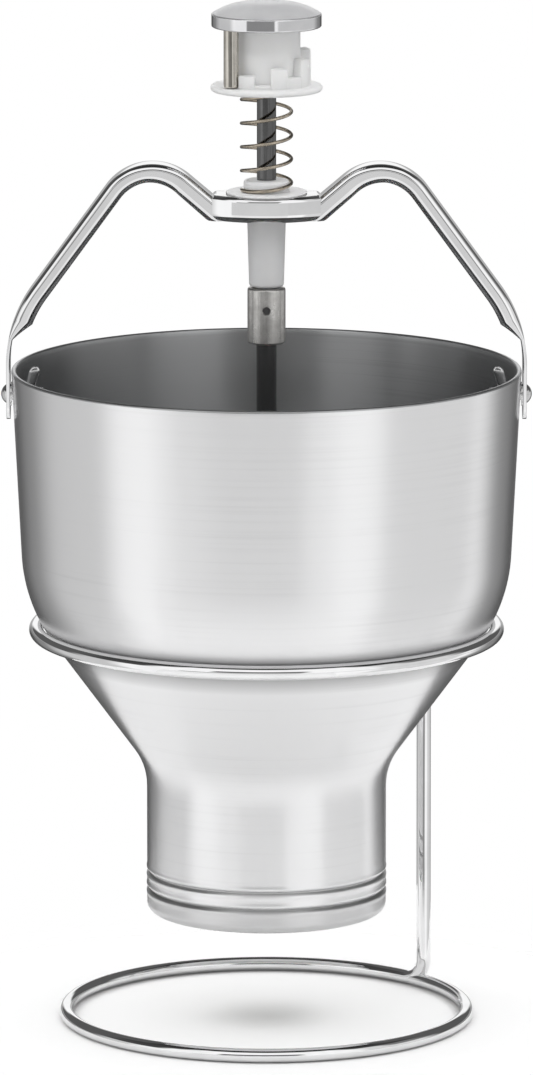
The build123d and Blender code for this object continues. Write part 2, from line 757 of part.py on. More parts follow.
with BuildPart() as thickness_dial:
    for start, sector, top in zip(notch_angles, tooth_sweeps, tooth_tops):
        with BuildSketch(Plane.XY.offset(dial_flange_z)):
            with BuildLine():
                rim_arc = CenterArc((0, 0), dial_step_radius, start, sector)
                Line((0, 0), rim_arc @ 0)
                Line(rim_arc @ 1, (0, 0))
            make_face()
        extrude(amount=top)
    for angle, rise in zip(notch_angles, floor_rises):
        notch_plane = Plane(origin=(0, 0, dial_flange_z + rise), x_dir=Vector(1, 0, 0).rotate(Axis.Z, angle))
        with BuildSketch(notch_plane):
            Rectangle(dial_flange_diameter, notch_width, align=(Align.MIN, Align.CENTER))
        extrude(amount=dial_hub_height, mode=Mode.SUBTRACT)
    with BuildSketch(Plane.XY.offset(dial_flange_z)):
        Circle(dial_hub_radius)
    extrude(amount=dial_hub_height)
    for top in tooth_tops:
        top_edges = thickness_dial.edges().filter_by_position(
            Axis.Z, dial_flange_z + top - 0.01, dial_flange_z + top + 0.01
        )
        fillet(top_edges.filter_by(beyond_hub), radius=dial_tooth_edge)
    with BuildSketch(Plane.XY.offset(dial_z)):
        Circle(dial_flange_diameter / 2)
    extrude(amount=dial_flange_thickness)
    flange_edges = thickness_dial.edges().filter_by(GeomType.CIRCLE).sort_by(SortBy.RADIUS)[-2:]
    fillet(flange_edges, radius=dial_flange_edge)
    with BuildSketch(Plane.XY.offset(dial_z)):
        Circle(spring_diameter / 2 + seat_gap)
    extrude(amount=spring_pocket_depth, mode=Mode.SUBTRACT)
    with BuildSketch(Plane.XY.offset(dial_z)):
        Circle(upper_rod_bore)
    extrude(amount=dial_flange_thickness + dial_hub_height, mode=Mode.SUBTRACT)

thickness_dial.part.label = "thickness_dial"
export_step(thickness_dial.part, "parts/thickness_dial.step")


# Push knob: a turned disc with a low dome, bored for the rod, the pin and the top screw
knob_radius = knob_diameter / 2
stop_pin_radius = stop_pin_diameter / 2
pin_direction = math.radians(stop_pin_angle)
pin_place = (stop_pin_offset * math.cos(pin_direction), stop_pin_offset * math.sin(pin_direction))
screw_head_radius = knob_screw_head_diameter / 2
screw_head_depth = screw_head_radius - knob_screw_radius

with BuildPart() as push_knob:
    with BuildSketch(Plane.XZ) as knob_section:
        with BuildLine():
            Polyline(
                (knob_flat_diameter / 2, knob_top_z),
                (0, knob_top_z),
                (0, knob_z),
                (knob_radius, knob_z),
                (knob_radius, knob_z + knob_band),
            )
            TangentArc(
                (knob_flat_diameter / 2, knob_top_z),
                (knob_radius, knob_z + knob_band),
                tangent=(1, 0),
            )
        make_face()
        fillet(knob_section.vertices().group_by(Axis.X)[-1].sort_by(Axis.Y)[-1], radius=knob_upper_edge)
        fillet(knob_section.vertices().group_by(Axis.X)[-1].sort_by(Axis.Y)[0], radius=knob_lower_edge)
    revolve(axis=Axis.Z)
    with BuildSketch(Plane.XY.offset(knob_z)):
        Circle(upper_rod_radius + fit_clearance)
    extrude(amount=knob_rod_depth + fit_clearance, mode=Mode.SUBTRACT)
    with BuildSketch(Plane.XY.offset(knob_z)):
        with Locations(pin_place):
            Circle(stop_pin_radius + fit_clearance)
    extrude(amount=stop_pin_depth + fit_clearance, mode=Mode.SUBTRACT)
    with Locations((0, 0, knob_top_z)):
        CounterSinkHole(
            radius=knob_screw_radius + fit_clearance,
            counter_sink_radius=screw_head_radius + fit_clearance,
            depth=knob_height,
            counter_sink_angle=90,
        )

push_knob.part.label = "push_knob"
export_step(push_knob.part, "parts/push_knob.step")


# Knob screw: countersunk, flush in the knob's top, threaded into the upper rod
with BuildPart() as knob_screw:
    with BuildSketch(Plane.XZ):
        with BuildLine():
            Polyline(
                (0, knob_top_z),
                (screw_head_radius, knob_top_z),
                (knob_screw_radius, knob_top_z - screw_head_depth),
                (knob_screw_radius, knob_screw_end_z),
                (0, knob_screw_end_z),
                close=True,
            )
        make_face()
    revolve(axis=Axis.Z)

knob_screw.part.label = "knob_screw"
export_step(knob_screw.part, "parts/knob_screw.step")


# Stop pin: pressed into the knob, stands in the dial's lowest notch
stop_pin_z = dial_flange_z + seat_gap

with BuildPart() as stop_pin:
    with BuildSketch(Plane.XY.offset(stop_pin_z)):
        with Locations(pin_place):
            Circle(stop_pin_radius)
    extrude(amount=knob_z + stop_pin_depth - stop_pin_z)
    chamfer(stop_pin.edges().filter_by(GeomType.CIRCLE).sort_by(Axis.Z)[0], length=sheet / 4)

stop_pin.part.label = "stop_pin"
export_step(stop_pin.part, "parts/stop_pin.step")
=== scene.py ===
import math

import bmesh
import bpy
import numpy as np
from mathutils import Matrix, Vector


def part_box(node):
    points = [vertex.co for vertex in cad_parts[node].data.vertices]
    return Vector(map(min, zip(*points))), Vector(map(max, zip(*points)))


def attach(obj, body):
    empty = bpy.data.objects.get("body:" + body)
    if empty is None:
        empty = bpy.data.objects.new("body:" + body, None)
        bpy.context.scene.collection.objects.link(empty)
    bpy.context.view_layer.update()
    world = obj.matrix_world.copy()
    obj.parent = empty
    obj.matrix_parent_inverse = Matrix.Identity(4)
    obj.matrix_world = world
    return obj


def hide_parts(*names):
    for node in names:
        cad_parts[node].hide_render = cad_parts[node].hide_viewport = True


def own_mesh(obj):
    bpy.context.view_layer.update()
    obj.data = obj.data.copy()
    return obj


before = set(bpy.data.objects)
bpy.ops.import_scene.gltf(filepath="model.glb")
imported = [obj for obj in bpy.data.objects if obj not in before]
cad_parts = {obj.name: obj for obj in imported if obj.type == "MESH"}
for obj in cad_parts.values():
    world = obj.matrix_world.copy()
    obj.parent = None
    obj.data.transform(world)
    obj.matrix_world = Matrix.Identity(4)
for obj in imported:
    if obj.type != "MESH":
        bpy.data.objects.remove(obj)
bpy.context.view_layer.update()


# Wire stand. One chromed steel wire is bent round on the table and turned up at the back into a post, and a
# ring of the same wire is welded on the post's top to carry the hopper.

ring_low, ring_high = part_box("stand_support_ring")
wire_radius = (ring_high.z - ring_low.z) / 2
support_radius = ring_high.x - wire_radius
support_height = (ring_high.z + ring_low.z) / 2
base_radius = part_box("stand_base_wire")[1].x - wire_radius
post_angle = math.radians(38)
post_bend_radius = 0.009
post_bend_run = 1.25 * post_bend_radius
weld_swell, weld_length = 0.0006, 0.0018
post_stop = 0.8 * wire_radius


def make_piece(name, *grids, crease=40):
    """One mesh from grids of points, each with rows by columns by xyz and a flag that says whether the last
    row joins the first. Columns always join up. Quads join neighbours, and run the other way round where a
    grid's signed volume, each quad's middle times its area direction, shows it inside out. Points that fall
    together are merged, so a row shrunk to a point closes an end. Edges that turn more than the crease angle
    are left sharp."""
    points, faces, uvs, count = [], [], [], 0
    for grid, loop in grids:
        rows, columns = grid.shape[:2]
        row, column = np.mgrid[0 : rows if loop else rows - 1, 0:columns]
        step_row = np.stack([row, row, row + 1, row + 1], axis=-1)
        step_column = np.stack([column, column + 1, column + 1, column], axis=-1)
        quads = (step_row % rows) * columns + step_column % columns
        corners = np.moveaxis(grid.reshape(-1, 3)[quads], -2, 0)
        facing = np.cross(corners[2] - corners[0], corners[3] - corners[1])
        if (corners.mean(axis=0) * facing).sum() < 0:
            quads, step_row, step_column = quads[..., ::-1], step_row[..., ::-1], step_column[..., ::-1]
        points.append(grid.reshape(-1, 3))
        faces.append(count + quads.reshape(-1, 4))
        uvs.append(np.stack([step_column / columns, step_row / rows], axis=-1).reshape(-1, 2))
        count += rows * columns
    mesh = bpy.data.meshes.new(name)
    mesh.from_pydata(np.concatenate(points).tolist(), [], np.concatenate(faces).tolist())
    mesh.uv_layers.new(name="UVMap").data.foreach_set("uv", np.concatenate(uvs).ravel())
    work = bmesh.new()
    work.from_mesh(mesh)
    bmesh.ops.remove_doubles(work, verts=work.verts, dist=2e-6)
    work.to_mesh(mesh)
    work.free()
    mesh.polygons.foreach_set("use_smooth", np.ones(len(mesh.polygons), bool))
    mesh.set_sharp_from_angle(angle=math.radians(crease))
    piece = bpy.data.objects.new(name, mesh)
    bpy.context.scene.collection.objects.link(piece)
    return piece


def unit(vectors):
    """The same directions with a length of one."""
    return vectors / np.linalg.norm(vectors, axis=-1, keepdims=True)


def rounded(corners, radii, steps=12):
    """A path through corners, where each inner corner becomes an arc of its radius that touches both runs.
    The points of an arc are its centre plus its two end radii, weighted by sines so that they turn evenly. A
    point just before and just after each arc keeps the runs beside it flat in their shading."""
    corners = np.asarray(corners, float)
    stretches = [corners[:1]]
    for before, corner, after, radius in zip(corners[:-2], corners[1:-1], corners[2:], radii):
        if radius == 0:
            stretches.append(corner[None])
            continue
        back, ahead = unit(before - corner), unit(after - corner)
        half = math.acos(back @ ahead) / 2
        turn = math.pi - 2 * half
        centre = corner + unit(back + ahead) * radius / math.sin(half)
        touch = radius / math.tan(half)
        first, last = corner + back * touch - centre, corner + ahead * touch - centre
        part = np.linspace(0, 1, steps)[:, None]
        blend = np.sin((1 - part) * turn) * first + np.sin(part * turn) * last
        arc = centre + blend / math.sin(turn)
        stretches += [corner[None] + back * 1.03 * touch, arc, corner[None] + ahead * 1.03 * touch]
    stretches.append(corners[-1:])
    return np.concatenate(stretches)


def tube(path, radius, sides=32, loop=False):
    """Circles across a path, with the direction away from the hopper's axis as their first direction. An
    open tube gets a point at each end that closes it. The radius is one value or one for each point."""
    ahead = np.roll(path, -1, axis=0) - np.roll(path, 1, axis=0) if loop else np.gradient(path, axis=0)
    side = unit(np.cross(unit(ahead), unit(path * (1, 1, 0))))
    across = np.cross(side, unit(ahead))
    angle = np.linspace(0, 2 * np.pi, sides, endpoint=False)[None, :, None]
    circle = np.cos(angle) * across[:, None] + np.sin(angle) * side[:, None]
    grid = path[:, None] + np.reshape(radius, (-1, 1, 1)) * circle
    if not loop:
        ends = np.repeat(path[[0, -1], None], sides, axis=1)
        grid = np.concatenate([ends[:1], grid, ends[1:]])
    return grid, loop


def about_axis(radius, angle, height):
    """Points at radii, angles and heights about the hopper's axis."""
    points = np.broadcast_arrays(radius * np.cos(angle), radius * np.sin(angle), height)
    return np.stack(points, axis=-1)


def ring_path(radius, height, start=0.0, sweep=2 * math.pi, steps=240):
    """Points on a level circle about the hopper's axis."""
    angle = start + np.linspace(0, sweep, steps, endpoint=sweep < 2 * math.pi)
    return about_axis(radius, angle, height)


def add(tree, kind, inputs=(), **settings):
    """A shader node. Its inputs are values or sockets, by name in a dict or by order in a tuple."""
    node = tree.nodes.new("ShaderNode" + kind)
    for name, value in settings.items():
        setattr(node, name, value)
    for key, value in inputs.items() if isinstance(inputs, dict) else enumerate(inputs):
        if isinstance(value, bpy.types.NodeSocket):
            tree.links.new(value, node.inputs[key])
        else:
            node.inputs[key].default_value = value
    return node


def ramp(tree, factor, stops):
    """A colour ramp's output for a factor. The stops are places and colours, or places and grey levels."""
    node = add(tree, "ValToRGB", (factor,))
    while len(node.color_ramp.elements) < len(stops):
        node.color_ramp.elements.new(1.0)
    for element, (place, colour) in zip(node.color_ramp.elements, stops):
        element.position = place
        element.color = (*(colour if isinstance(colour, tuple) else (colour,) * 3), 1)
    return node.outputs["Color"]


def new_finish(name, **sockets):
    """A material with one Principled shader, whose own sockets are set from the names given."""
    material = bpy.data.materials.new(name)
    material.use_nodes = True
    shader = material.node_tree.nodes["Principled BSDF"]
    for socket, value in sockets.items():
        shader.inputs[socket.replace("_", " ")].default_value = value
    return material, material.node_tree, shader


def feed(shader, **sockets):
    """Links outputs to the shader's sockets of the names given."""
    for socket, output in sockets.items():
        shader.id_data.links.new(output, shader.inputs[socket.replace("_", " ")])


def vary(shader, factor, **sockets):
    """Lets sockets of the shader follow a factor, each over its own ramp's stops."""
    feed(shader, **{socket: ramp(shader.id_data, factor, stops) for socket, stops in sockets.items()})


def emboss(shader, height, strength, depth):
    """Gives the shader a fine relief from a height."""
    relief = {"Height": height, "Strength": strength, "Distance": depth}
    feed(shader, Normal=add(shader.id_data, "Bump", relief).outputs["Normal"])


def object_noise(tree, scale, stretch=(1, 1, 1), detail=4.0, roughness=0.55):
    """Noise laid on the piece's own coordinates in metres, stretched along the three axes."""
    place = add(tree, "TexCoord").outputs["Object"]
    place = add(tree, "Mapping", {"Vector": place, "Scale": stretch}).outputs["Vector"]
    inputs = {"Vector": place, "Scale": scale, "Detail": detail, "Roughness": roughness}
    return add(tree, "TexNoise", inputs).outputs["Fac"]


def chrome_plate(name, dulling_and_painted_groove_shade, wave_height):
    """Bright plate: a clean mirror, a little duller in drifting patches, over a faintly wavy surface."""
    light, dark, smooth = (0.93, 0.93, 0.935), (0.86, 0.86, 0.865), 0.02
    material, tree, shader = new_finish(name, Metallic=1.0, Specular_IOR_Level=0.5)
    patches = object_noise(tree, 60)
    vary(shader, patches, Base_Color=[(0.3, dark), (0.65, light)], Roughness=[(0.4, smooth), (0.7, dulling_and_painted_groove_shade)])
    emboss(shader, object_noise(tree, 170, detail=2), 0.1, wave_height)
    return material


def finish(piece, material, body, slot, *nodes):
    """Gives a piece its material and its body, and hides the CAD nodes it stands for. The slot is not used.
    """
    piece.data.materials.append(material)
    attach(piece, body)
    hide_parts(*nodes)


bright_wire = chrome_plate("bright_wire", 0.04, 0.00003)

foot = math.hypot(base_radius, post_bend_run) * np.array([math.cos(post_angle), math.sin(post_angle), 0])
foot[2] = wire_radius
ring_start_angle = post_angle + math.atan2(post_bend_run, base_radius)
ring_start = ring_path(base_radius, wire_radius, ring_start_angle, 0.1, 2)[0]
post_head = np.array([foot[0], math.sqrt(support_radius**2 - foot[0] ** 2), support_height])
post_end = post_head - unit(post_head - foot) * post_stop
post_top = post_end + unit(foot - post_end) * np.linspace(0, 4 * weld_length, 24)[:, None]
closing_sweep = 2 * math.pi - 0.5 * post_bend_run / base_radius
post_and_bend = rounded([post_top[-1], foot, ring_start], [post_bend_radius], steps=24)[1:-1]
base_circle = ring_path(base_radius, wire_radius, ring_start_angle, closing_sweep, 300)
base_path = np.concatenate([post_top, post_and_bend, base_circle])
post_reach = np.linalg.norm(base_path - post_end, axis=1)
base_swell = weld_swell * np.exp(-((post_reach / weld_length) ** 2))
base_wire = make_piece("base_wire", tube(base_path, wire_radius + base_swell, sides=40))
finish(base_wire, bright_wire, "stand", "chromed_wire", "stand_base_wire")

support_path = ring_path(support_radius, support_height, steps=320)
support_ring = make_piece("support_ring", tube(support_path, wire_radius, sides=40, loop=True))
finish(support_ring, bright_wire, "stand", "chromed_wire", "stand_support_ring")


# Hopper. One aluminium sheet is spun over a former into barrel, shoulder, funnel and neck. The spinning
# tool leaves fine lines round it, two grooves are rolled into the neck, and the neck's end is turned in.

hopper_low, hopper_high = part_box("hopper_shell")
rim_height = hopper_high.z
rim_radius = 0.10593
neck_radius = 0.050
neck_end = hopper_low.z
sheet_wall = 0.002
throat_height = neck_end + 0.0625
barrel_depth = 0.098
shoulder_height = rim_height - barrel_depth
shoulder_corner = rim_radius - barrel_depth * math.tan(math.radians(2.9))
shoulder_bend, throat_bend, neck_bend = 0.066, 0.028, 0.004
lip_radius = 0.03105
groove_heights = neck_end + np.array([0.0103, 0.0175])
groove_depth, groove_width, groove_brow = 0.0009, 0.0008, 0.00025
# The second height is how far up the neck the painted groove shade reaches.
grooved_height, painted_groove_shade_height = 0.022, 0.020
wall_spacing, groove_spacing = 0.0025, 0.0005
# Painted shadow under the support ring: how far it reaches below and above the ring's height.
ring_shadow_below, ring_shadow_above = 0.012, 0.006
hopper_turns = 256


def turned(profile, steps=hopper_turns):
    """Circles about the hopper's axis, one for each radius and height of the profile."""
    angle = np.linspace(0, 2 * np.pi, steps, endpoint=False)
    return about_axis(profile[:, :1], angle, profile[:, 1:])


def offset_inward(profile, distance):
    """The profile moved to its right-hand side, across its own direction, by a distance."""
    ahead = unit(np.gradient(profile, axis=0))
    return profile + distance * np.stack([ahead[:, 1], -ahead[:, 0]], axis=-1)


def evenly(path, spacing):
    """The same path with points a fixed way apart, so that a detail along it has points to shape."""
    way = np.concatenate([[0], np.cumsum(np.linalg.norm(np.diff(path, axis=0), axis=1))])
    stations = np.linspace(0, way[-1], int(way[-1] / spacing) + 1)
    return np.stack([np.interp(stations, way, column) for column in path.T], axis=-1)


hopper_corners = [
    (rim_radius, rim_height),
    (shoulder_corner, shoulder_height),
    (neck_radius, throat_height),
    (neck_radius, neck_end),
    (lip_radius, neck_end),
]
wall_line = rounded(hopper_corners, [shoulder_bend, throat_bend, neck_bend], steps=40)
plain, grooved = evenly(wall_line, wall_spacing), evenly(wall_line, groove_spacing)
above, within = plain[:, 1] > neck_end + grooved_height, plain[:, 0] < neck_radius - neck_bend
low_neck = (grooved[:, 1] < neck_end + grooved_height) & (grooved[:, 0] > neck_radius - neck_bend)
outer_wall = np.concatenate([plain[above], grooved[low_neck], plain[within]])
inner_wall = offset_inward(outer_wall, sheet_wall)
beside_groove = (outer_wall[:, 1:] - groove_heights) / groove_width
on_neck = (outer_wall[:, 1] > neck_end + neck_bend) & (outer_wall[:, 1] < throat_height)
brow = groove_brow * np.exp(-((np.abs(beside_groove) - 2) ** 2))
groove = brow - groove_depth * np.exp(-(beside_groove**2))
outer_wall[:, 0] += on_neck * groove.sum(axis=1)
rim_turn = np.linspace(0, np.pi, 9)[1:-1, None]
rim_middle = (outer_wall[0] + inner_wall[0]) / 2
rim_edge = rim_middle + sheet_wall / 2 * np.hstack([-np.cos(rim_turn), np.sin(rim_turn)])
rim_edge[:, 1] -= sheet_wall / 2
outer_wall[0, 1] -= sheet_wall / 2
inner_wall[0, 1] -= sheet_wall / 2
hopper_profile = np.concatenate([outer_wall, inner_wall[::-1], rim_edge])


def maths(tree, operation, *values):
    """A sum, product or the like of values or sockets."""
    return add(tree, "Math", values, operation=operation).outputs[0]


def over(tree, value, low, high, start=0.0, stop=1.0, **settings):
    """How far a value has come from low to high, as a number that goes from start to stop."""
    inputs = {"Value": value, "From Min": low, "From Max": high, "To Min": start, "To Max": stop}
    return add(tree, "MapRange", inputs, **settings).outputs["Result"]


def mixed_colour(tree, factor, first, second, **settings):
    """Two colours mixed by a factor."""
    inputs = {"Factor": factor, 6: first, 7: second}
    return add(tree, "Mix", inputs, data_type="RGBA", **settings).outputs[2]


def spun_aluminium(name, light, dark, smooth, dull, line_depth, ring_shadow_level):
    """Spun sheet: grey metal with fine lines round the axis, from noise squeezed along the height, broader
    turns of the tool and drifting smears. Painted shade darkens the two grooves and the neck below the lower
    groove, and a painted shadow greys the shoulder under the support ring down to the ring shadow level.
    The lines spread light up and down, so the shader is anisotropic."""
    material, tree, shader = new_finish(name, Metallic=1.0, Anisotropic=0.85, Anisotropic_Rotation=0.25)
    fine = object_noise(tree, 1.0, (4, 4, 5200), detail=3)
    broad = object_noise(tree, 1.0, (1.5, 1.5, 420), detail=4)
    smears = object_noise(tree, 18, (1, 1, 0.6), detail=3)
    lines = maths(tree, "MULTIPLY_ADD", fine, 0.55, broad)
    tone = maths(tree, "MULTIPLY_ADD", smears, 0.6, lines)
    height = add(tree, "SeparateXYZ", (add(tree, "TexCoord").outputs["Object"],)).outputs["Z"]
    up_neck = over(tree, height, neck_end, neck_end + painted_groove_shade_height)
    # Painted shadow: the shoulder greys in a band just under the support ring.
    at_ring = over(tree, height, support_height - ring_shadow_below, support_height + ring_shadow_above)
    # Painted shade: dark lines on the two rolled grooves and a darker neck below the lower groove.
    dulling_and_painted_groove_shade = [(0.0, 0.74), (0.44, 0.8), (0.5, 0.42), (0.56, 1.0), (0.8, 1.0), (0.865, 0.45), (0.92, 1.0)]
    painted_ring_shadow = [(0.0, 1.0), (0.42, ring_shadow_level), (0.66, ring_shadow_level), (1.0, 1.0)]
    tint = ramp(tree, tone, [(0.72, dark), (1.0, light)])
    for mark in (ramp(tree, up_neck, dulling_and_painted_groove_shade), ramp(tree, at_ring, painted_ring_shadow)):
        tint = mixed_colour(tree, 1.0, tint, mark, blend_type="MULTIPLY")
    vary(shader, tone, Roughness=[(0.75, dull), (1.0, smooth)])
    emboss(shader, lines, 0.35, line_depth)
    round_axis = add(tree, "Tangent", direction_type="UV_MAP", uv_map="UVMap").outputs["Tangent"]
    feed(shader, Base_Color=tint, Tangent=round_axis)
    return material


bright_grey, shaded_grey = (0.93, 0.93, 0.935), (0.87, 0.87, 0.875)
# Painted shade: the inside is the same spun aluminium in much darker greys, for the shade within the hopper.
inside_shade_grey, inside_deeper_shade_grey = (0.52, 0.525, 0.53), (0.43, 0.435, 0.44)
# The last number is how grey the painted shadow under the support ring makes the metal; the inside gets none.
spun_outside = spun_aluminium("spun_outside", bright_grey, shaded_grey, 0.30, 0.36, 0.00002, 0.55)
spun_inside = spun_aluminium("spun_inside", inside_shade_grey, inside_deeper_shade_grey, 0.30, 0.38, 0.00003, 1.0)

hopper = make_piece("hopper", (turned(hopper_profile), True))
finish(hopper, spun_outside, "hopper", "spun_aluminium", "hopper_shell")
hopper.data.materials.append(spun_inside)
inside_rows = np.arange(len(hopper_profile)) >= len(outer_wall)
hopper.data.polygons.foreach_set("material_index", np.repeat(inside_rows, hopper_turns).astype(np.int32))


# Nozzle insert and forming disc. Both are turned from white acetal: the insert is locked in the neck by the
# rolled grooves, and its bore is shut at rest by the disc on the plunger's stud.

insert_low, insert_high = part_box("nozzle_insert")
disc_low, disc_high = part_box("forming_disc")
mouth_height = insert_low.z
bore_radius = 0.023
bore_top = mouth_height + 0.0285
mouth_radius = lip_radius - 0.00005
insert_radius = neck_radius - sheet_wall - 0.00005
insert_floor = neck_end + sheet_wall
insert_rim = 0.002
disc_bore, disc_edge = 0.0031, 0.0025
tool_edge = 0.0004


def coat(material, *nodes):
    """Gives a material to CAD nodes that are shown as they are."""
    for node in nodes:
        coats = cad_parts[node].data.materials
        coats.clear()
        coats.append(material)


def turned_acetal():
    """Turned acetal: milky white with a faint yellow drift, lathe lines, and light that sinks in a little."""
    material, tree, shader = new_finish("turned_acetal", Subsurface_Weight=0.15, Subsurface_Scale=0.003)
    milky = [(0.3, (0.80, 0.80, 0.77)), (0.7, (0.87, 0.87, 0.85))]
    vary(shader, object_noise(tree, 35), Base_Color=milky)
    lines = object_noise(tree, 1.0, (30, 30, 2600), detail=2)
    vary(shader, lines, Roughness=[(0.3, 0.38), (0.7, 0.5)])
    emboss(shader, lines, 0.25, 0.00003)
    return material


acetal = turned_acetal()
insert_corners = [
    (bore_radius, bore_top),
    (bore_radius, mouth_height),
    (mouth_radius, mouth_height),
    (mouth_radius, insert_floor),
    (insert_radius - neck_bend, insert_floor),
    (insert_radius, insert_floor + neck_bend),
    (insert_radius, insert_high.z),
    (insert_radius - insert_rim, insert_high.z),
    (bore_radius, bore_top),
]
insert_edges = [tool_edge, tool_edge, 0, 0, 0, 0, tool_edge]
insert_profile = rounded(insert_corners, insert_edges, steps=6)[:-1]
insert = make_piece("insert", (turned(insert_profile, 160), True))
finish(insert, acetal, "hopper", "white_acetal", "nozzle_insert")

disc_radius = disc_high.x
stem_radius = 0.006
disc_corners = [
    (disc_bore, disc_low.z),
    (disc_radius, disc_low.z),
    (disc_radius, disc_low.z + disc_edge),
    (stem_radius, disc_high.z),
    (disc_bore, disc_high.z),
]
disc_profile = rounded(disc_corners, [tool_edge, tool_edge, 0], steps=6)
forming_disc = make_piece("disc", (turned(disc_profile, 128), True))
finish(forming_disc, acetal, "plunger", "white_acetal", "forming_disc")
coat(acetal, "stem_spacer", "piston")


# Seal and plunger nut. The seal is a black rubber ring in the piston's groove; the nut is a domed plated one
# that holds disc, stem and piston on the rod's stud.


def seal_rubber():
    """Moulded rubber: near black, dull, with a fine grain."""
    material, tree, shader = new_finish("seal_rubber", Specular_IOR_Level=0.35)
    grain = object_noise(tree, 1500, detail=2)
    vary(shader, grain, Base_Color=[(0.3, 0.018), (0.7, 0.032)], Roughness=[(0.3, 0.62), (0.7, 0.75)])
    return material


def plated_hardware():
    """Bright zinc-nickel plate on small turned parts: faint turning marks and a slightly uneven shine."""
    material, tree, shader = new_finish("plated_hardware", Metallic=1.0)
    patches = object_noise(tree, 220)
    vary(shader, patches, Base_Color=[(0.3, 0.66), (0.7, 0.78)], Roughness=[(0.3, 0.1), (0.7, 0.22)])
    emboss(shader, object_noise(tree, 1800, detail=2), 0.1, 0.00002)
    return material


hardware = plated_hardware()
coat(seal_rubber(), "piston_seal")
coat(hardware, "plunger_nut", "pivot_spacers", "pivot_washers", "bush_retaining_ring")


# Bail. A steel strip is pressed into a hollow bridge that widens round the bush, two channel arms whose sides
# roll in to narrow lips, and two flat tabs, then chromed. The channel's sides stop short of the tabs.

tab_low, tab_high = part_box("bail_handle")
strip = 0.0016
bridge_top = rim_height + 0.0735
bridge_low = bridge_top - 0.0107
bridge_end, bridge_half_width = 0.0224, 0.01575
bridge_edge, bridge_low_edge, bridge_lip = 0.002, 0.0034, 0.0042
bush_hole = 0.00805
arm_half_width = 0.0075
arm_depth, arm_root_depth = 0.0076, 0.0092
arm_lip = 0.0015
arm_top_edge, arm_low_edge, arm_crown = 0.0024, 0.003, 0.0002
tab_face = tab_high.x
arm_root = np.array([bridge_end - 0.004, bridge_top - 0.0039])
crest_corner = np.array([0.0513, bridge_top + 0.0239])
tab_corner = np.array([tab_face, rim_height + 0.020])
tab_end = np.array([tab_face, tab_low.z])
crest_bend, tab_bend = 0.024, 0.055
channel_stop = rim_height + 0.0220
channel_fade = 0.0085
upright_run, upright_fade = 0.006, 0.009
arm_spacing = 0.0006


def channel_section(depth, lip, top_edge, low_edge, crown):
    """Outline across an arm: sideways and outward from the strip's outer face. One half runs from the middle
    of the outer face round the side and the rolled lip to the middle of the inner face; the other mirrors it.
    The outer face falls away to the sides by the crown, as the square of the way out."""
    under = -max(depth - strip, strip)
    inner = arm_half_width - strip
    face = [(across, 0) for across in np.linspace(0, arm_half_width - 1.2 * top_edge, 7)]
    side = [(arm_half_width, 0), (arm_half_width, -depth), (inner - lip, -depth), (inner - lip, under)]
    hollow = [(inner, under), (inner, -strip), (0, -strip)]
    half = rounded(face + side + hollow, [0] * 6 + [top_edge, low_edge, 0, 0, 0, 0], steps=10)
    half[:, 1] -= crown * (half[:, 0] / arm_half_width) ** 2
    return np.concatenate([half, half[-2:0:-1] * (-1, 1)])


def closing_row(row):
    """A row of points drawn together in its middle, which closes an end."""
    return np.repeat(row.mean(axis=1, keepdims=True), row.shape[1], axis=1)


def bail_arm():
    """The arm's section carried along its line in the XZ plane. It deepens from the crest to the bridge,
    where its sections stand upright and stop at the bridge's lower edge. Past the channel's stop the sides
    run out into a flat strip, and the tab's end narrows in a half circle."""
    line = rounded([arm_root, crest_corner, tab_corner, tab_end], [crest_bend, tab_bend], steps=60)
    line = evenly(line, arm_spacing)
    ahead = unit(np.gradient(line, axis=0))
    outward = np.stack([-ahead[:, 1], ahead[:, 0]], axis=-1)
    way = np.concatenate([[0], np.cumsum(np.linalg.norm(np.diff(line, axis=0), axis=1))])
    upright = np.clip((upright_run + upright_fade - way) / upright_fade, 0, 1)[:, None]
    outward = (1 - upright) * outward + upright * np.array([0, 1]) / ahead[:, :1].clip(0.3)
    falling = way > way[-1] / 2
    channel = 1 - np.clip((channel_stop - line[:, 1]) / channel_fade, 0, 1) * falling
    full = channel_section(arm_depth, arm_lip, arm_top_edge, arm_low_edge, arm_crown)
    flat = channel_section(strip, 0, strip / 3, strip / 3, 0)
    root = channel_section(arm_root_depth, arm_lip, arm_top_edge, arm_low_edge, arm_crown)
    to_root = np.clip((crest_corner[0] - line[:, 0]) / (crest_corner[0] - arm_root[0]), 0, 1)[:, None, None]
    outline = flat + channel[:, None, None] * (full + to_root * (root - full) - flat)
    beyond = np.clip((way - way[-1]) / arm_half_width + 1, 0, 1)
    outline[..., 0] *= np.sqrt(1 - beyond**2)[:, None]
    place = line[:, None] + outline[..., 1:] * outward[:, None]
    rising = line[:, :1] < crest_corner[0]
    height = np.where(rising, np.maximum(place[..., 1], bridge_low), place[..., 1])
    grid = np.stack([place[..., 0], outline[..., 0], height], axis=-1)
    return np.concatenate([closing_row(grid[:1]), grid])


def bridge_plan(steps=72):
    """The bridge's outline from above and its outward directions: two wide arcs through the arms' sides and
    the bridge's greatest width, joined by straight ends. A corner's direction is the mitre of its sides."""
    rise = bridge_half_width - arm_half_width
    radius = (bridge_end**2 + rise**2) / (2 * rise)
    reach = math.asin(bridge_end / radius)
    angle = np.linspace(-reach, reach, steps)
    outward = np.stack([np.sin(angle), -np.cos(angle)], axis=-1)
    front = radius * outward + (0, radius - bridge_half_width)
    mitre = outward[[0, -1]] + [(-1, 0), (1, 0)]
    outward[[0, -1]] = 2 * mitre / (mitre**2).sum(axis=1, keepdims=True)
    return np.concatenate([front, -front]), np.concatenate([outward, -outward])


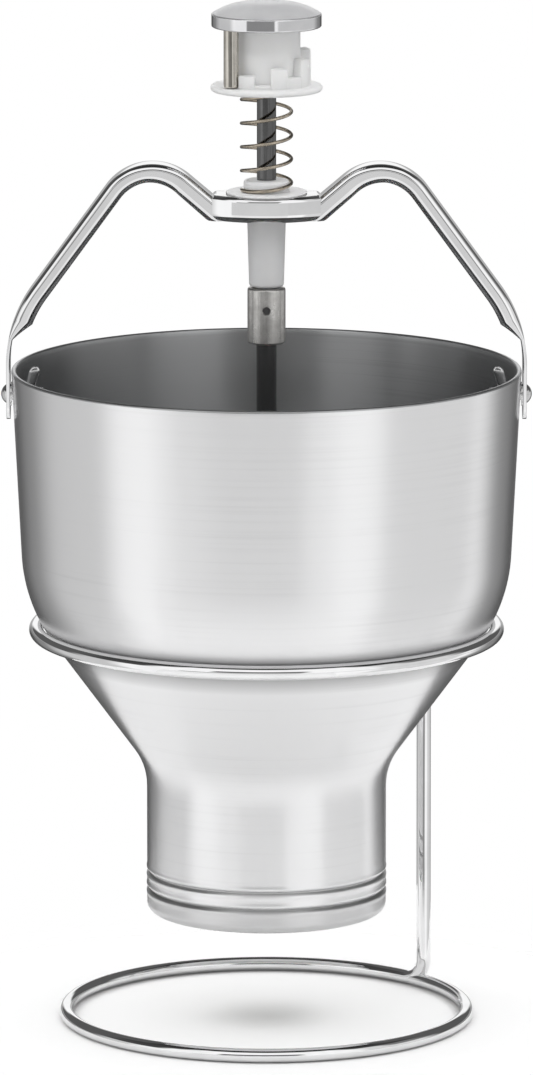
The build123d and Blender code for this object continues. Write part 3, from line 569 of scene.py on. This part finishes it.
def bridge_cup():
    """The bridge's section, as a way in from its outline and a height, carried round the outline. The last
    row and the first are the hole for the bush, below and above."""
    corners = [
        (bridge_half_width / 2, bridge_top),
        (0, bridge_top),
        (0, bridge_low),
        (bridge_lip, bridge_low),
        (bridge_lip, bridge_low + strip),
        (strip, bridge_low + strip),
        (strip, bridge_top - strip),
        (bridge_half_width / 2, bridge_top - strip),
    ]
    section = rounded(corners, [bridge_edge, bridge_low_edge, 0, 0, 0, 0], steps=12)[1:-1]
    outline, outward = bridge_plan()
    across = outline - section[:, :1, None] * outward
    hole = np.repeat((bush_hole * unit(outline))[None], 2, axis=0)
    across = np.concatenate([hole[:1], across, hole[1:]])
    height = np.concatenate([[bridge_top], section[:, 1], [bridge_top - strip]])
    height = np.broadcast_to(height[:, None, None], across.shape[:2] + (1,))
    return np.concatenate([across, height], axis=-1)


right_arm = bail_arm()
left_arm = right_arm * (-1, 1, 1)
bail = make_piece("bail", (right_arm, False), (left_arm, False), (bridge_cup(), True), crease=35)
bright_sheet = chrome_plate("bright_sheet", 0.05, 0.00005)
finish(bail, bright_sheet, "hopper", "chromed_sheet", "bail_handle")


# Pivot screws and wing nuts. Two domed screws go through the tabs and the hopper's wall, and wing nuts inside
# the rim hold them, so that the bail comes off by hand for washing.

screw_low, screw_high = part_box("pivot_screws")
nut_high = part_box("wing_nuts")[1]
pivot_height = (screw_high.z + screw_low.z) / 2
head_radius = (screw_high.z - screw_low.z) / 2
head_height = screw_high.x - tab_face
head_undercut, tip_edge = 0.0002, 0.0005
shank_radius = 0.0025
screw_tip = 0.0925
nut_seat = nut_high.x
nut_hub_end = nut_seat - 0.005
nut_wing_end = nut_seat - 0.0085
nut_hub_radius = 0.0045
wing_tip = nut_high.z - pivot_height
wing_half_thickness = 0.0013
wing_set_back, wing_lean, wing_root, wing_blunt = 0.0016, 0.0022, 0.001, 0.6
tip_start = 0.72
hub_edges = [0.0003, 0.0006]


def across_pivot(grid, side):
    """Turned points laid along the pivot: height becomes the way out from the axis on one side."""
    return np.stack([side * grid[..., 2], grid[..., 1], pivot_height + grid[..., 0]], axis=-1)


def domed_head():
    """Profile of a screw from its tip to the top of its dome, which is an arc of a sphere."""
    sphere = (head_radius**2 + head_height**2) / (2 * head_height)
    lean = np.linspace(math.asin(head_radius / sphere), 0, 14)
    dome = np.stack([sphere * np.sin(lean), tab_face + head_height - sphere * (1 - np.cos(lean))], axis=-1)
    head_rim = (head_radius - head_undercut, tab_face)
    corners = [(0, screw_tip), (shank_radius, screw_tip), (shank_radius, tab_face), head_rim]
    return np.concatenate([rounded(corners, [tip_edge, 0], steps=5), dome])


def wing(up):
    """One wing of a nut: a flat rounded blade that leans away from the wall. Rows go from hub to tip; each is
    a flat oval whose width follows the blade's two edges, and the last rows round the tip."""
    rise = np.linspace(0, 1, 28)
    near = nut_seat - wing_set_back - wing_lean * rise
    far = nut_hub_end + (nut_wing_end - nut_hub_end) * rise**0.8
    tip_round = np.sqrt(np.clip(1 - np.clip((rise - tip_start) / (1 - tip_start), 0, 1) ** 2, 0, 1))
    middle, half = (near + far) / 2, np.abs(near - far) / 2 * tip_round
    thick = wing_half_thickness * (1 - 0.25 * rise) * np.sqrt(tip_round)
    angle = np.linspace(0, 2 * np.pi, 32, endpoint=False)
    cos, sin = np.cos(angle), np.sin(angle)
    width = middle[:, None] + half[:, None] * np.sign(cos) * np.abs(cos) ** wing_blunt
    depth = thick[:, None] * np.sign(sin) * np.abs(sin) ** wing_blunt
    height = np.broadcast_to(up * (wing_root + (wing_tip - wing_root) * rise)[:, None], width.shape)
    grid = np.stack([width, depth, pivot_height + height], axis=-1)
    return np.concatenate([closing_row(grid[:1]), grid])


head_profile = domed_head()
screws = make_piece("screws", *[(across_pivot(turned(head_profile, 64), side), False) for side in (1, -1)])
finish(screws, hardware, "hopper", "bright_hardware", "pivot_screws")

hub_corners = [
    (shank_radius, nut_seat),
    (nut_hub_radius, nut_seat),
    (0.8 * nut_hub_radius, nut_hub_end),
    (shank_radius, nut_hub_end),
]
hub_profile = rounded(hub_corners, hub_edges, steps=6)
nut_parts = []
for side in (1, -1):
    nut_parts.append((across_pivot(turned(hub_profile, 48), side), True))
    nut_parts += [(wing(up) * (side, 1, 1), False) for up in (1, -1)]
nuts = make_piece("nuts", *nut_parts)
finish(nuts, hardware, "hopper", "bright_hardware", "wing_nuts")


# Guide bush. Moulded in pale grey nylon, with a flange and boss on top of the bridge and a long tapered
# sleeve below it that guides the rod.

bush_low, bush_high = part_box("guide_bush")
rod_bore = 0.00408
flange_radius = bush_high.x
flange_top = bridge_top + 0.0009
boss_radius = 0.0095
sleeve_radius, sleeve_end_radius = 0.008, 0.0072


def moulded_nylon(name, light, dark, glow):
    """Moulded nylon: pale, satin, slightly see-through, with a fine mould grain and soft flow marks."""
    material, tree, shader = new_finish(name, Subsurface_Weight=glow, Subsurface_Scale=0.004, IOR=1.53)
    shader.inputs["Subsurface Radius"].default_value = (1.0, 0.95, 0.85)
    flow = object_noise(tree, 55, (1, 1, 0.5))
    vary(shader, flow, Base_Color=[(0.3, dark), (0.7, light)])
    grain = object_noise(tree, 1400, detail=2)
    vary(shader, grain, Roughness=[(0.3, 0.36), (0.7, 0.5)])
    emboss(shader, grain, 0.12, 0.00003)
    return material


grey_nylon = moulded_nylon("grey_nylon", (0.91, 0.91, 0.915), (0.86, 0.86, 0.865), 0.1)
bush_corners = [
    (rod_bore, bush_low.z),
    (sleeve_end_radius, bush_low.z),
    (sleeve_radius, bridge_low),
    (sleeve_radius, bridge_top),
    (flange_radius, bridge_top),
    (flange_radius, flange_top),
    (boss_radius, flange_top),
    (boss_radius, bush_high.z),
    (rod_bore, bush_high.z),
]
bush_edges = [0.0014, 0.004, 0, 0.0002, 0.0004, 0.0005, 0.0014]
bush_profile = rounded(bush_corners, bush_edges, steps=8)
bush = make_piece("bush", (turned(bush_profile, 128), True))
finish(bush, grey_nylon, "hopper", "grey_nylon", "guide_bush")


# Rods and coupling. The upper rod is drawn steel left dark, the lower one is coated gloss black, and a
# nickelled collar joins them, with a small screw sunk in its front.

upper_low, upper_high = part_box("upper_rod")
lower_low, lower_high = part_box("lower_rod")
collar_low, collar_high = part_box("rod_coupling")
collar_screw_low, collar_screw_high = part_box("coupling_screw")
upper_radius, lower_radius = 0.004, 0.00425
stud_radius = 0.003
rod_edge = 0.0003
stud_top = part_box("piston")[1].z
collar_radius, collar_bore = 0.0079, 0.0044
collar_hole_height = (collar_screw_low.z + collar_screw_high.z) / 2
collar_hole_radius, collar_hole_depth, collar_hole_edge = 0.0015, 0.001, 0.0003
collar_edges, collar_spacing = [0.0006, 0.0011], 0.0002


def drawn_steel(name, light, dark, smooth, dull, blotching):
    """Drawn or turned steel: lines along the piece from stretched noise, with small blotches where the
    surface has been handled, as strong as the blotching says."""
    material, tree, shader = new_finish(name, Metallic=1.0)
    lines = object_noise(tree, 1.0, (2600, 2600, 40), detail=3)
    blotches = object_noise(tree, 260, detail=5, roughness=0.7)
    tone = add(tree, "Mix", {"Factor": blotching, "A": lines, "B": blotches}).outputs["Result"]
    vary(shader, tone, Base_Color=[(0.35, dark), (0.65, light)], Roughness=[(0.35, dull), (0.65, smooth)])
    emboss(shader, tone, 0.1, 0.00003)
    return material


def black_coating():
    """Gloss black coating: almost flat, with a slight waviness that bends the highlights."""
    gloss = {"Specular_IOR_Level": 1.0, "Coat_Weight": 1.0, "Coat_IOR": 1.9}
    material, tree, shader = new_finish("black_coating", **gloss)
    waves = object_noise(tree, 140)
    vary(shader, waves, Base_Color=[(0.3, 0.008), (0.7, 0.016)], Roughness=[(0.3, 0.14), (0.7, 0.24)])
    emboss(shader, waves, 0.08, 0.00005)
    return material


def bar(radius, low, high, edges, steps):
    """Profile of a solid bar from its lower end to its upper one, with both edges rounded."""
    return rounded([(0, low), (radius, low), (radius, high), (0, high)], edges, steps)


def collar_surface():
    """The collar as rows of circles, pressed in by a short way wherever a point of its front lies inside the
    screw hole's circle, with a steep smooth edge."""
    low, high = collar_low.z, collar_high.z
    corners = [(collar_bore, low), (collar_radius, low), (collar_radius, high), (collar_bore, high)]
    profile = evenly(rounded(corners, collar_edges, steps=8), collar_spacing)
    grid = turned(profile, 256)
    from_hole = np.hypot(grid[..., 0], grid[..., 2] - collar_hole_height)
    from_axis = np.hypot(grid[..., 0], grid[..., 1])
    on_front = (grid[..., 1] < -0.5 * collar_radius) & (from_axis > 0.9 * collar_radius)
    inside = np.clip((collar_hole_radius - from_hole) / collar_hole_edge + 0.5, 0, 1) * on_front
    grid[..., 1] += collar_hole_depth * inside
    return grid


upper_steel = drawn_steel("upper_steel", 0.2, 0.11, 0.06, 0.1, 0.2)
nickel = drawn_steel("nickel", (0.74, 0.73, 0.71), (0.52, 0.51, 0.49), 0.24, 0.4, 0.6)
screw_steel = drawn_steel("screw_steel", 0.2, 0.1, 0.35, 0.5, 0.5)

upper_profile = bar(upper_radius, upper_low.z, upper_high.z, [rod_edge, rod_edge], 4)
upper_rod = make_piece("upper_steel_rod", (turned(upper_profile, 64), False))
finish(upper_rod, upper_steel, "plunger", "dark_steel", "upper_rod")

lower_corners = [
    (0, lower_low.z),
    (stud_radius, lower_low.z),
    (stud_radius, stud_top),
    (lower_radius, stud_top),
    (lower_radius, lower_high.z),
    (0, lower_high.z),
]
lower_profile = rounded(lower_corners, [rod_edge, 0, 0, rod_edge], steps=4)
lower_rod = make_piece("black_rod", (turned(lower_profile, 64), False))
finish(lower_rod, black_coating(), "plunger", "black_gloss", "lower_rod")

collar = make_piece("collar", (collar_surface(), True))
finish(collar, nickel, "plunger", "nickel_steel", "rod_coupling")
coat(screw_steel, "coupling_screw")


# Return spring. Plain spring wire wound right-handed with open ends; it stands on the bush's flange round the
# boss and pushes the dial up. It closes up as the knob is pushed.

spring_low, spring_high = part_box("return_spring")
spring_wire = 0.0015
spring_radius = (spring_high.x - spring_low.x - spring_wire) / 2
spring_pitch = 0.0099
spring_foot = spring_low.z + spring_wire / 2
spring_head = spring_high.z - spring_wire / 2
spring_start, spring_lie = math.radians(188), math.radians(68)
spring_climb = 2 * math.pi * (spring_head - spring_foot) / spring_pitch
closing = 0.35


def coil():
    """A helix whose first and last stretch lie level. The climb is the way round past the first stretch, with
    a smooth bend, less the way past the start of the last one with the same bend."""
    way = np.linspace(0, spring_climb + 2 * spring_lie, 460)
    begun = closing * np.logaddexp(0, (way - spring_lie) / closing)
    ended = closing * np.logaddexp(0, (way - spring_lie - spring_climb) / closing)
    height = spring_foot + (begun - ended) * spring_pitch / (2 * math.pi)
    return about_axis(spring_radius, spring_start + way, height)


spring = make_piece("spring", tube(coil(), spring_wire / 2, sides=20))
spring_steel = drawn_steel("spring_steel", (0.55, 0.49, 0.40), (0.38, 0.33, 0.27), 0.06, 0.12, 0.3)
finish(spring, spring_steel, "hopper", "spring_steel", "return_spring")
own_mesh(spring)


# Thickness dial. Moulded in white nylon: a flange with a hub, ringed by steps that rise as they go round,
# with a notch before each step for the stop pin. Turning it sets how far the plunger can travel.

dial_low, dial_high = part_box("thickness_dial")
pin_low, pin_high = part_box("stop_pin")
dial_flange_radius = dial_high.x
dial_flange_top = dial_low.z + 0.0027
dial_hub_radius = 0.014
dial_step_radius = 0.0184
pin_radius = (pin_high.x - pin_low.x) / 2
pin_middle = np.array([(pin_high.x + pin_low.x) / 2, (pin_high.y + pin_low.y) / 2])
notch_half_width = pin_radius + 0.00015
first_notch = math.atan2(pin_middle[1], pin_middle[0])
notch_angles = first_notch + math.radians(45) * np.arange(6)
notch_floors = np.array([0, 0.0015, 0.0045, 0.0075, 0.0105, 0.0135])
step_tops = np.append(notch_floors[1:] + 0.004, 0.0205)
end_wall_angle = notch_angles[-1] + math.radians(25)
step_edge, step_sink, floor_inset = 0.0006, 0.001, 0.00002
dial_edges = [0.0003, 0.0003, 0.0012, 0.0012, 0.0005, 0.0005]
spring_pocket_radius, spring_pocket_depth = 0.01135, 0.003


def dial_block(start, start_offset, stop, stop_offset, top, reach):
    """A block of the dial between two planes that run parallel to rays from the axis, a set way to the side
    of each. A flat outline with two round upper corners, across the block and up it, is carried outward from
    the hub; the last rows draw in along a quarter circle, so that the outer edges are round too."""
    draw_in = np.linspace(0, np.pi / 2, 9)
    radius = np.append(dial_hub_radius - step_sink, reach - step_edge * (1 - np.sin(draw_in)))[:, None]
    inset = np.append(0, step_edge * (1 - np.cos(draw_in)))[:, None]
    start_angle = start + np.arcsin(start_offset / radius)
    stop_angle = stop - np.arcsin(stop_offset / radius)
    half = (stop_angle - start_angle) / 2 * radius - inset
    round_off = np.linspace(0, np.pi / 2, 7)
    share = np.concatenate([[0, 1], np.ones(7), [0]])
    back = step_edge * np.concatenate([[0, 0], 1 - np.cos(round_off), [0]])
    down = step_edge * np.concatenate([[0, 0], 1 - np.sin(round_off), [0]])
    standing = np.arange(10) > 1
    across = share * half - back
    rise = np.where(standing, top - inset - down, -step_sink)
    across = np.concatenate([across, -across[:, -2:0:-1]], axis=1)
    rise = np.concatenate([rise, rise[:, -2:0:-1]], axis=1)
    angle = (start_angle + stop_angle) / 2 + across / radius
    grid = about_axis(radius, angle, dial_flange_top + rise)
    return np.concatenate([closing_row(grid[:1]), grid, closing_row(grid[-1:])]), False


dial_corners = [
    (rod_bore, dial_low.z + spring_pocket_depth),
    (spring_pocket_radius, dial_low.z + spring_pocket_depth),
    (spring_pocket_radius, dial_low.z),
    (dial_flange_radius, dial_low.z),
    (dial_flange_radius, dial_flange_top),
    (dial_hub_radius, dial_flange_top),
    (dial_hub_radius, dial_high.z),
    (rod_bore, dial_high.z),
]
dial_profile = rounded(dial_corners, dial_edges, steps=8)
dial_parts = [(turned(dial_profile, 160), True)]
stops = np.append(notch_angles[1:], end_wall_angle)
for start, stop, top in zip(notch_angles, stops, step_tops):
    stop_offset = notch_half_width * (stop != end_wall_angle)
    dial_parts.append(dial_block(start, notch_half_width, stop, stop_offset, top, dial_step_radius))
under, floor_reach = -notch_half_width - 2 * step_edge, dial_step_radius - floor_inset
for middle, notch_floor in zip(notch_angles[1:], notch_floors[1:]):
    dial_parts.append(dial_block(middle, under, middle, under, notch_floor, floor_reach))
dial = make_piece("dial", *dial_parts)
white_nylon = moulded_nylon("white_nylon", (0.95, 0.95, 0.945), (0.91, 0.91, 0.905), 0.15)
finish(dial, white_nylon, "dial", "white_nylon", "thickness_dial")


# Push knob, its screw and the stop pin. The knob is turned steel with a low dome, chromed to a satin; a flush
# screw holds it on the rod, and a nickelled pin pressed into its underside stands in a notch of the dial.

knob_low, knob_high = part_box("push_knob")
knob_radius = knob_high.x
knob_band, knob_flat = 0.0054, 0.0057
knob_screw_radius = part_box("knob_screw")[1].x
knob_lower_edge, knob_upper_edge = 0.0008, 0.0009
screw_gap, screw_recess, screw_height, screw_edge = 0.0001, 0.0006, 0.0005, 0.0003
pin_edges = [0.0005, 0.0003]
satin_fade = 0.0004


def knob_chrome():
    """Chrome on the turned knob: polished on the band and satin on the dome, where soft rings about the axis,
    from noise over the distance to it, show through, with a faint cloudiness."""
    material, tree, shader = new_finish("knob_chrome", Metallic=1.0)
    cloudy = [(0.3, (0.76, 0.76, 0.775)), (0.7, (0.84, 0.84, 0.85))]
    vary(shader, object_noise(tree, 90), Base_Color=cloudy)
    place = add(tree, "TexCoord").outputs["Object"]
    flat = add(tree, "Mapping", {"Vector": place, "Scale": (1, 1, 0)}).outputs["Vector"]
    reach = add(tree, "VectorMath", (flat,), operation="LENGTH").outputs["Value"]
    rings = {"W": reach, "Scale": 2600, "Detail": 2.0}
    rings = add(tree, "TexNoise", rings, noise_dimensions="1D").outputs["Fac"]
    height = add(tree, "SeparateXYZ", (place,)).outputs["Z"]
    satin = over(tree, height, band_top - satin_fade, band_top + satin_fade)
    dome_shine = ramp(tree, rings, [(0.3, 0.3), (0.7, 0.38)])
    shine = add(tree, "Mix", {"Factor": satin, "A": 0.04, "B": dome_shine}).outputs["Result"]
    feed(shader, Roughness=shine, Metallic=over(tree, satin, 0.0, 1.0, 1.0, 0.4))
    emboss(shader, rings, 0.15, 0.00002)
    return material


band_top = knob_low.z + knob_band
dome_rise = knob_high.z - band_top
dome_sphere = ((knob_radius - knob_flat) ** 2 + dome_rise**2) / (2 * dome_rise)
dome_reach = np.linspace(knob_radius - knob_flat, 0, 40)
dome = np.stack(
    [knob_flat + dome_reach, knob_high.z - dome_sphere + np.sqrt(dome_sphere**2 - dome_reach**2)], axis=-1
)
band_corner = rounded(
    [(0, knob_low.z), (knob_radius, knob_low.z), (knob_radius, band_top), dome[3]],
    [knob_lower_edge, knob_upper_edge],
    steps=10,
)
dome = dome[dome[:, 0] < band_corner[-2, 0]]
seat_radius, seat_height = knob_screw_radius + screw_gap, knob_high.z - screw_recess
seat = np.array([(seat_radius, knob_high.z), (seat_radius, seat_height), (0, seat_height)])
knob_profile = np.concatenate([band_corner[:-1], dome, seat])
knob = make_piece("knob", (turned(knob_profile, 192), False))
knob_finish = knob_chrome()
finish(knob, knob_finish, "plunger", "knob_chrome", "push_knob")

cap_profile = bar(knob_screw_radius, knob_high.z - screw_height, knob_high.z, [0, screw_edge], 6)
cap = make_piece("knob_cap", (turned(cap_profile, 64), False))
finish(cap, knob_finish, "plunger", "bright_hardware", "knob_screw")

pin_profile = bar(pin_radius, pin_low.z, pin_high.z, pin_edges, 6)
pin_grid = turned(pin_profile, 64) + np.append(pin_middle, 0)
pin = make_piece("pin", (pin_grid, False))
pin_nickel = drawn_steel("pin_nickel", (0.78, 0.75, 0.69), (0.38, 0.355, 0.31), 0.02, 0.05, 0.2)
finish(pin, pin_nickel, "plunger", "nickel_steel", "stop_pin")


# Studio. A small pale floor that keeps the object's shadow fades into white all round; broad soft light comes
# from both sides and the front, and darker stretches between give the bright metal its lines.

floor_radius, floor_run = 0.24, 2.72
floor_sides = (-50, 30)
floor_fade, floor_lit_reach = (0.085, 0.2), (0.3, 0.5)
floor_glow = 0.15
look_at = np.array([0, 0, 0.2044])
camera_distance = 4.010
camera_elevation = math.radians(10.5)
image_height = 1075
focal_length = 9629
sensor_height = 24.0

floor_angle = np.linspace(0, 2 * np.pi, 240, endpoint=False)
floor_turn = np.degrees(np.arctan2(np.cos(floor_angle), -np.sin(floor_angle)))
floor_ahead = (floor_turn > floor_sides[0]) & (floor_turn < floor_sides[1])
floor_edge = np.where(floor_ahead, floor_run, floor_radius)
floor_out = np.linspace(0, 1, 12)[:, None] * floor_edge
floor = make_piece("floor", (about_axis(floor_out, floor_angle, 0), False))


def pale_floor():
    """Pale floor. The camera sees it fade out round the object and glow a little; other rays see all of it.
    Its tone falls with the distance. Mirrors see its far part evenly lit, and see it grey where they throw
    its light on to a dull piece."""
    material, tree, shader = new_finish("pale_floor", Roughness=0.9, Specular_IOR_Level=0.0)
    place = add(tree, "TexCoord").outputs["Object"]
    distance = add(tree, "VectorMath", (place,), operation="LENGTH").outputs["Value"]
    rays = add(tree, "LightPath").outputs
    cover = over(tree, distance, *floor_fade, 1.0, 0.0, interpolation_type="SMOOTHSTEP")
    cover = maths(tree, "MAXIMUM", cover, maths(tree, "SUBTRACT", 1.0, rays["Is Camera Ray"]))
    thrown = maths(tree, "MINIMUM", rays["Diffuse Depth"], 1.0)
    thrown = maths(tree, "MULTIPLY", thrown, rays["Is Glossy Ray"])
    share = maths(tree, "DIVIDE", distance, floor_run)
    tone = ramp(tree, share, [(0.088, 0.97), (0.11, 0.88), (0.6, 0.88), (0.72, 0.66)])
    tone = mixed_colour(tree, thrown, tone, (0.2, 0.2, 0.2, 1))
    far = maths(tree, "MULTIPLY", over(tree, distance, *floor_lit_reach), rays["Is Glossy Ray"])
    lift = maths(tree, "MULTIPLY", rays["Is Camera Ray"], floor_glow)
    lift = maths(tree, "MAXIMUM", lift, far)
    lit = mixed_colour(tree, far, tone, (0, 0, 0, 1))
    feed(shader, Alpha=cover, Base_Color=lit, Emission_Color=tone, Emission_Strength=lift)
    return material


floor.data.materials.append(pale_floor())

world = bpy.data.worlds.new("studio")
bpy.context.scene.world = world
world.use_nodes = True
world.cycles.sampling_method = "NONE"
sky = world.node_tree
ray = add(sky, "TexCoord").outputs["Generated"]
ray_parts = add(sky, "SeparateXYZ", (ray,)).outputs
toward_front = maths(sky, "MULTIPLY", ray_parts["Y"], -1.0)
turn = maths(sky, "DEGREES", maths(sky, "ARCTAN2", ray_parts["X"], toward_front))
away_from_front = maths(sky, "ABSOLUTE", turn)
rise = maths(sky, "DEGREES", maths(sky, "ARCSINE", ray_parts["Z"]))


def band(value, low, high, soft):
    """One between two angles and nought outside them, with smooth edges."""
    enter = over(sky, value, low - soft, low + soft, interpolation_type="SMOOTHSTEP")
    leave = over(sky, value, high - soft, high + soft, 1.0, 0.0, interpolation_type="SMOOTHSTEP")
    return maths(sky, "MULTIPLY", enter, leave)


def shade(level, place, strength):
    """The level changed to another strength where the place is one."""
    return add(sky, "Mix", {"Factor": place, "A": level, "B": strength}).outputs["Result"]


# What bright metal mirrors: grey side walls, a dark room above and behind with one white card in it, the dark
# side that the camera stands on, and a black ceiling.
# Each row has an angle round, its limits and soft edge, the limits and soft edge of the rise, and a strength.
anywhere = (-400, 400, 1)
mirrored_room = [
    (turn, (56, 110, 5), anywhere, 0.72),
    (turn, (-130, -78, 8), anywhere, 0.62),
    (turn, (24, 130, 3), (-9.5, -5.5, 1), 0.62),
    (turn, (-200, -62, 6), (20, 200, 3), 0.06),
    (turn, (75, 200, 6), (22, 200, 3), 0.2),
    (away_from_front, (105, 400, 10), (5, 200, 3), 0.1),
    (away_from_front, (125, 400, 12), (-200, 5, 2), 0.25),
    (away_from_front, (150, 400, 10), (-200, -4, 2), 0.08),
    (away_from_front, (166, 400, 4), (-9, 5, 2), 0.45),
    (away_from_front, (166, 400, 4), (5, 18, 2), 1.0),
    (turn, (-42, 17, 2), (-16, 3, 2), 0.29),
    (turn, (-26, 20, 3), (7, 22, 2), 0.03),
    (away_from_front, (55, 120, 8), (42, 200, 4), 0.05),
    (turn, anywhere, (58, 200, 4), 0.03),
]
tent = 1.0
for angle_round, limits, rise_limits, strength in mirrored_room:
    place = maths(sky, "MULTIPLY", band(angle_round, *limits), band(rise, *rise_limits))
    tent = shade(tent, place, strength)
soft = shade(0.38, band(rise, 44, 64, 4), 2.75)
soft = shade(soft, band(rise, -200, 0, 1), 0.9)
rays = add(sky, "LightPath").outputs
tent = shade(tent, band(rays["Glossy Depth"], 1.5, 100, 0.1), 0.6)
mirrored = maths(sky, "MAXIMUM", rays["Is Glossy Ray"], rays["Is Transmission Ray"])
thrown = maths(sky, "MINIMUM", rays["Diffuse Depth"], 1.0)
world_level = shade(shade(soft, mirrored, tent), maths(sky, "MULTIPLY", mirrored, thrown), 0.2)
world_level = shade(world_level, rays["Is Camera Ray"], 1.0)
sky.links.new(world_level, sky.nodes["Background"].inputs["Strength"])
sky.nodes["Background"].inputs["Color"].default_value = (1, 1, 1, 1)

camera_data = bpy.data.cameras.new("camera")
camera_data.sensor_fit = "VERTICAL"
camera_data.sensor_height = sensor_height
camera_data.lens = sensor_height * focal_length / image_height
camera = bpy.data.objects.new("camera", camera_data)
bpy.context.scene.collection.objects.link(camera)
away = np.array([0, -math.cos(camera_elevation), math.sin(camera_elevation)])
camera.location = look_at + camera_distance * away
camera.rotation_euler = (math.pi / 2 - camera_elevation, 0, 0)
bpy.context.scene.camera = camera
bpy.context.scene.view_settings.view_transform = "Standard"
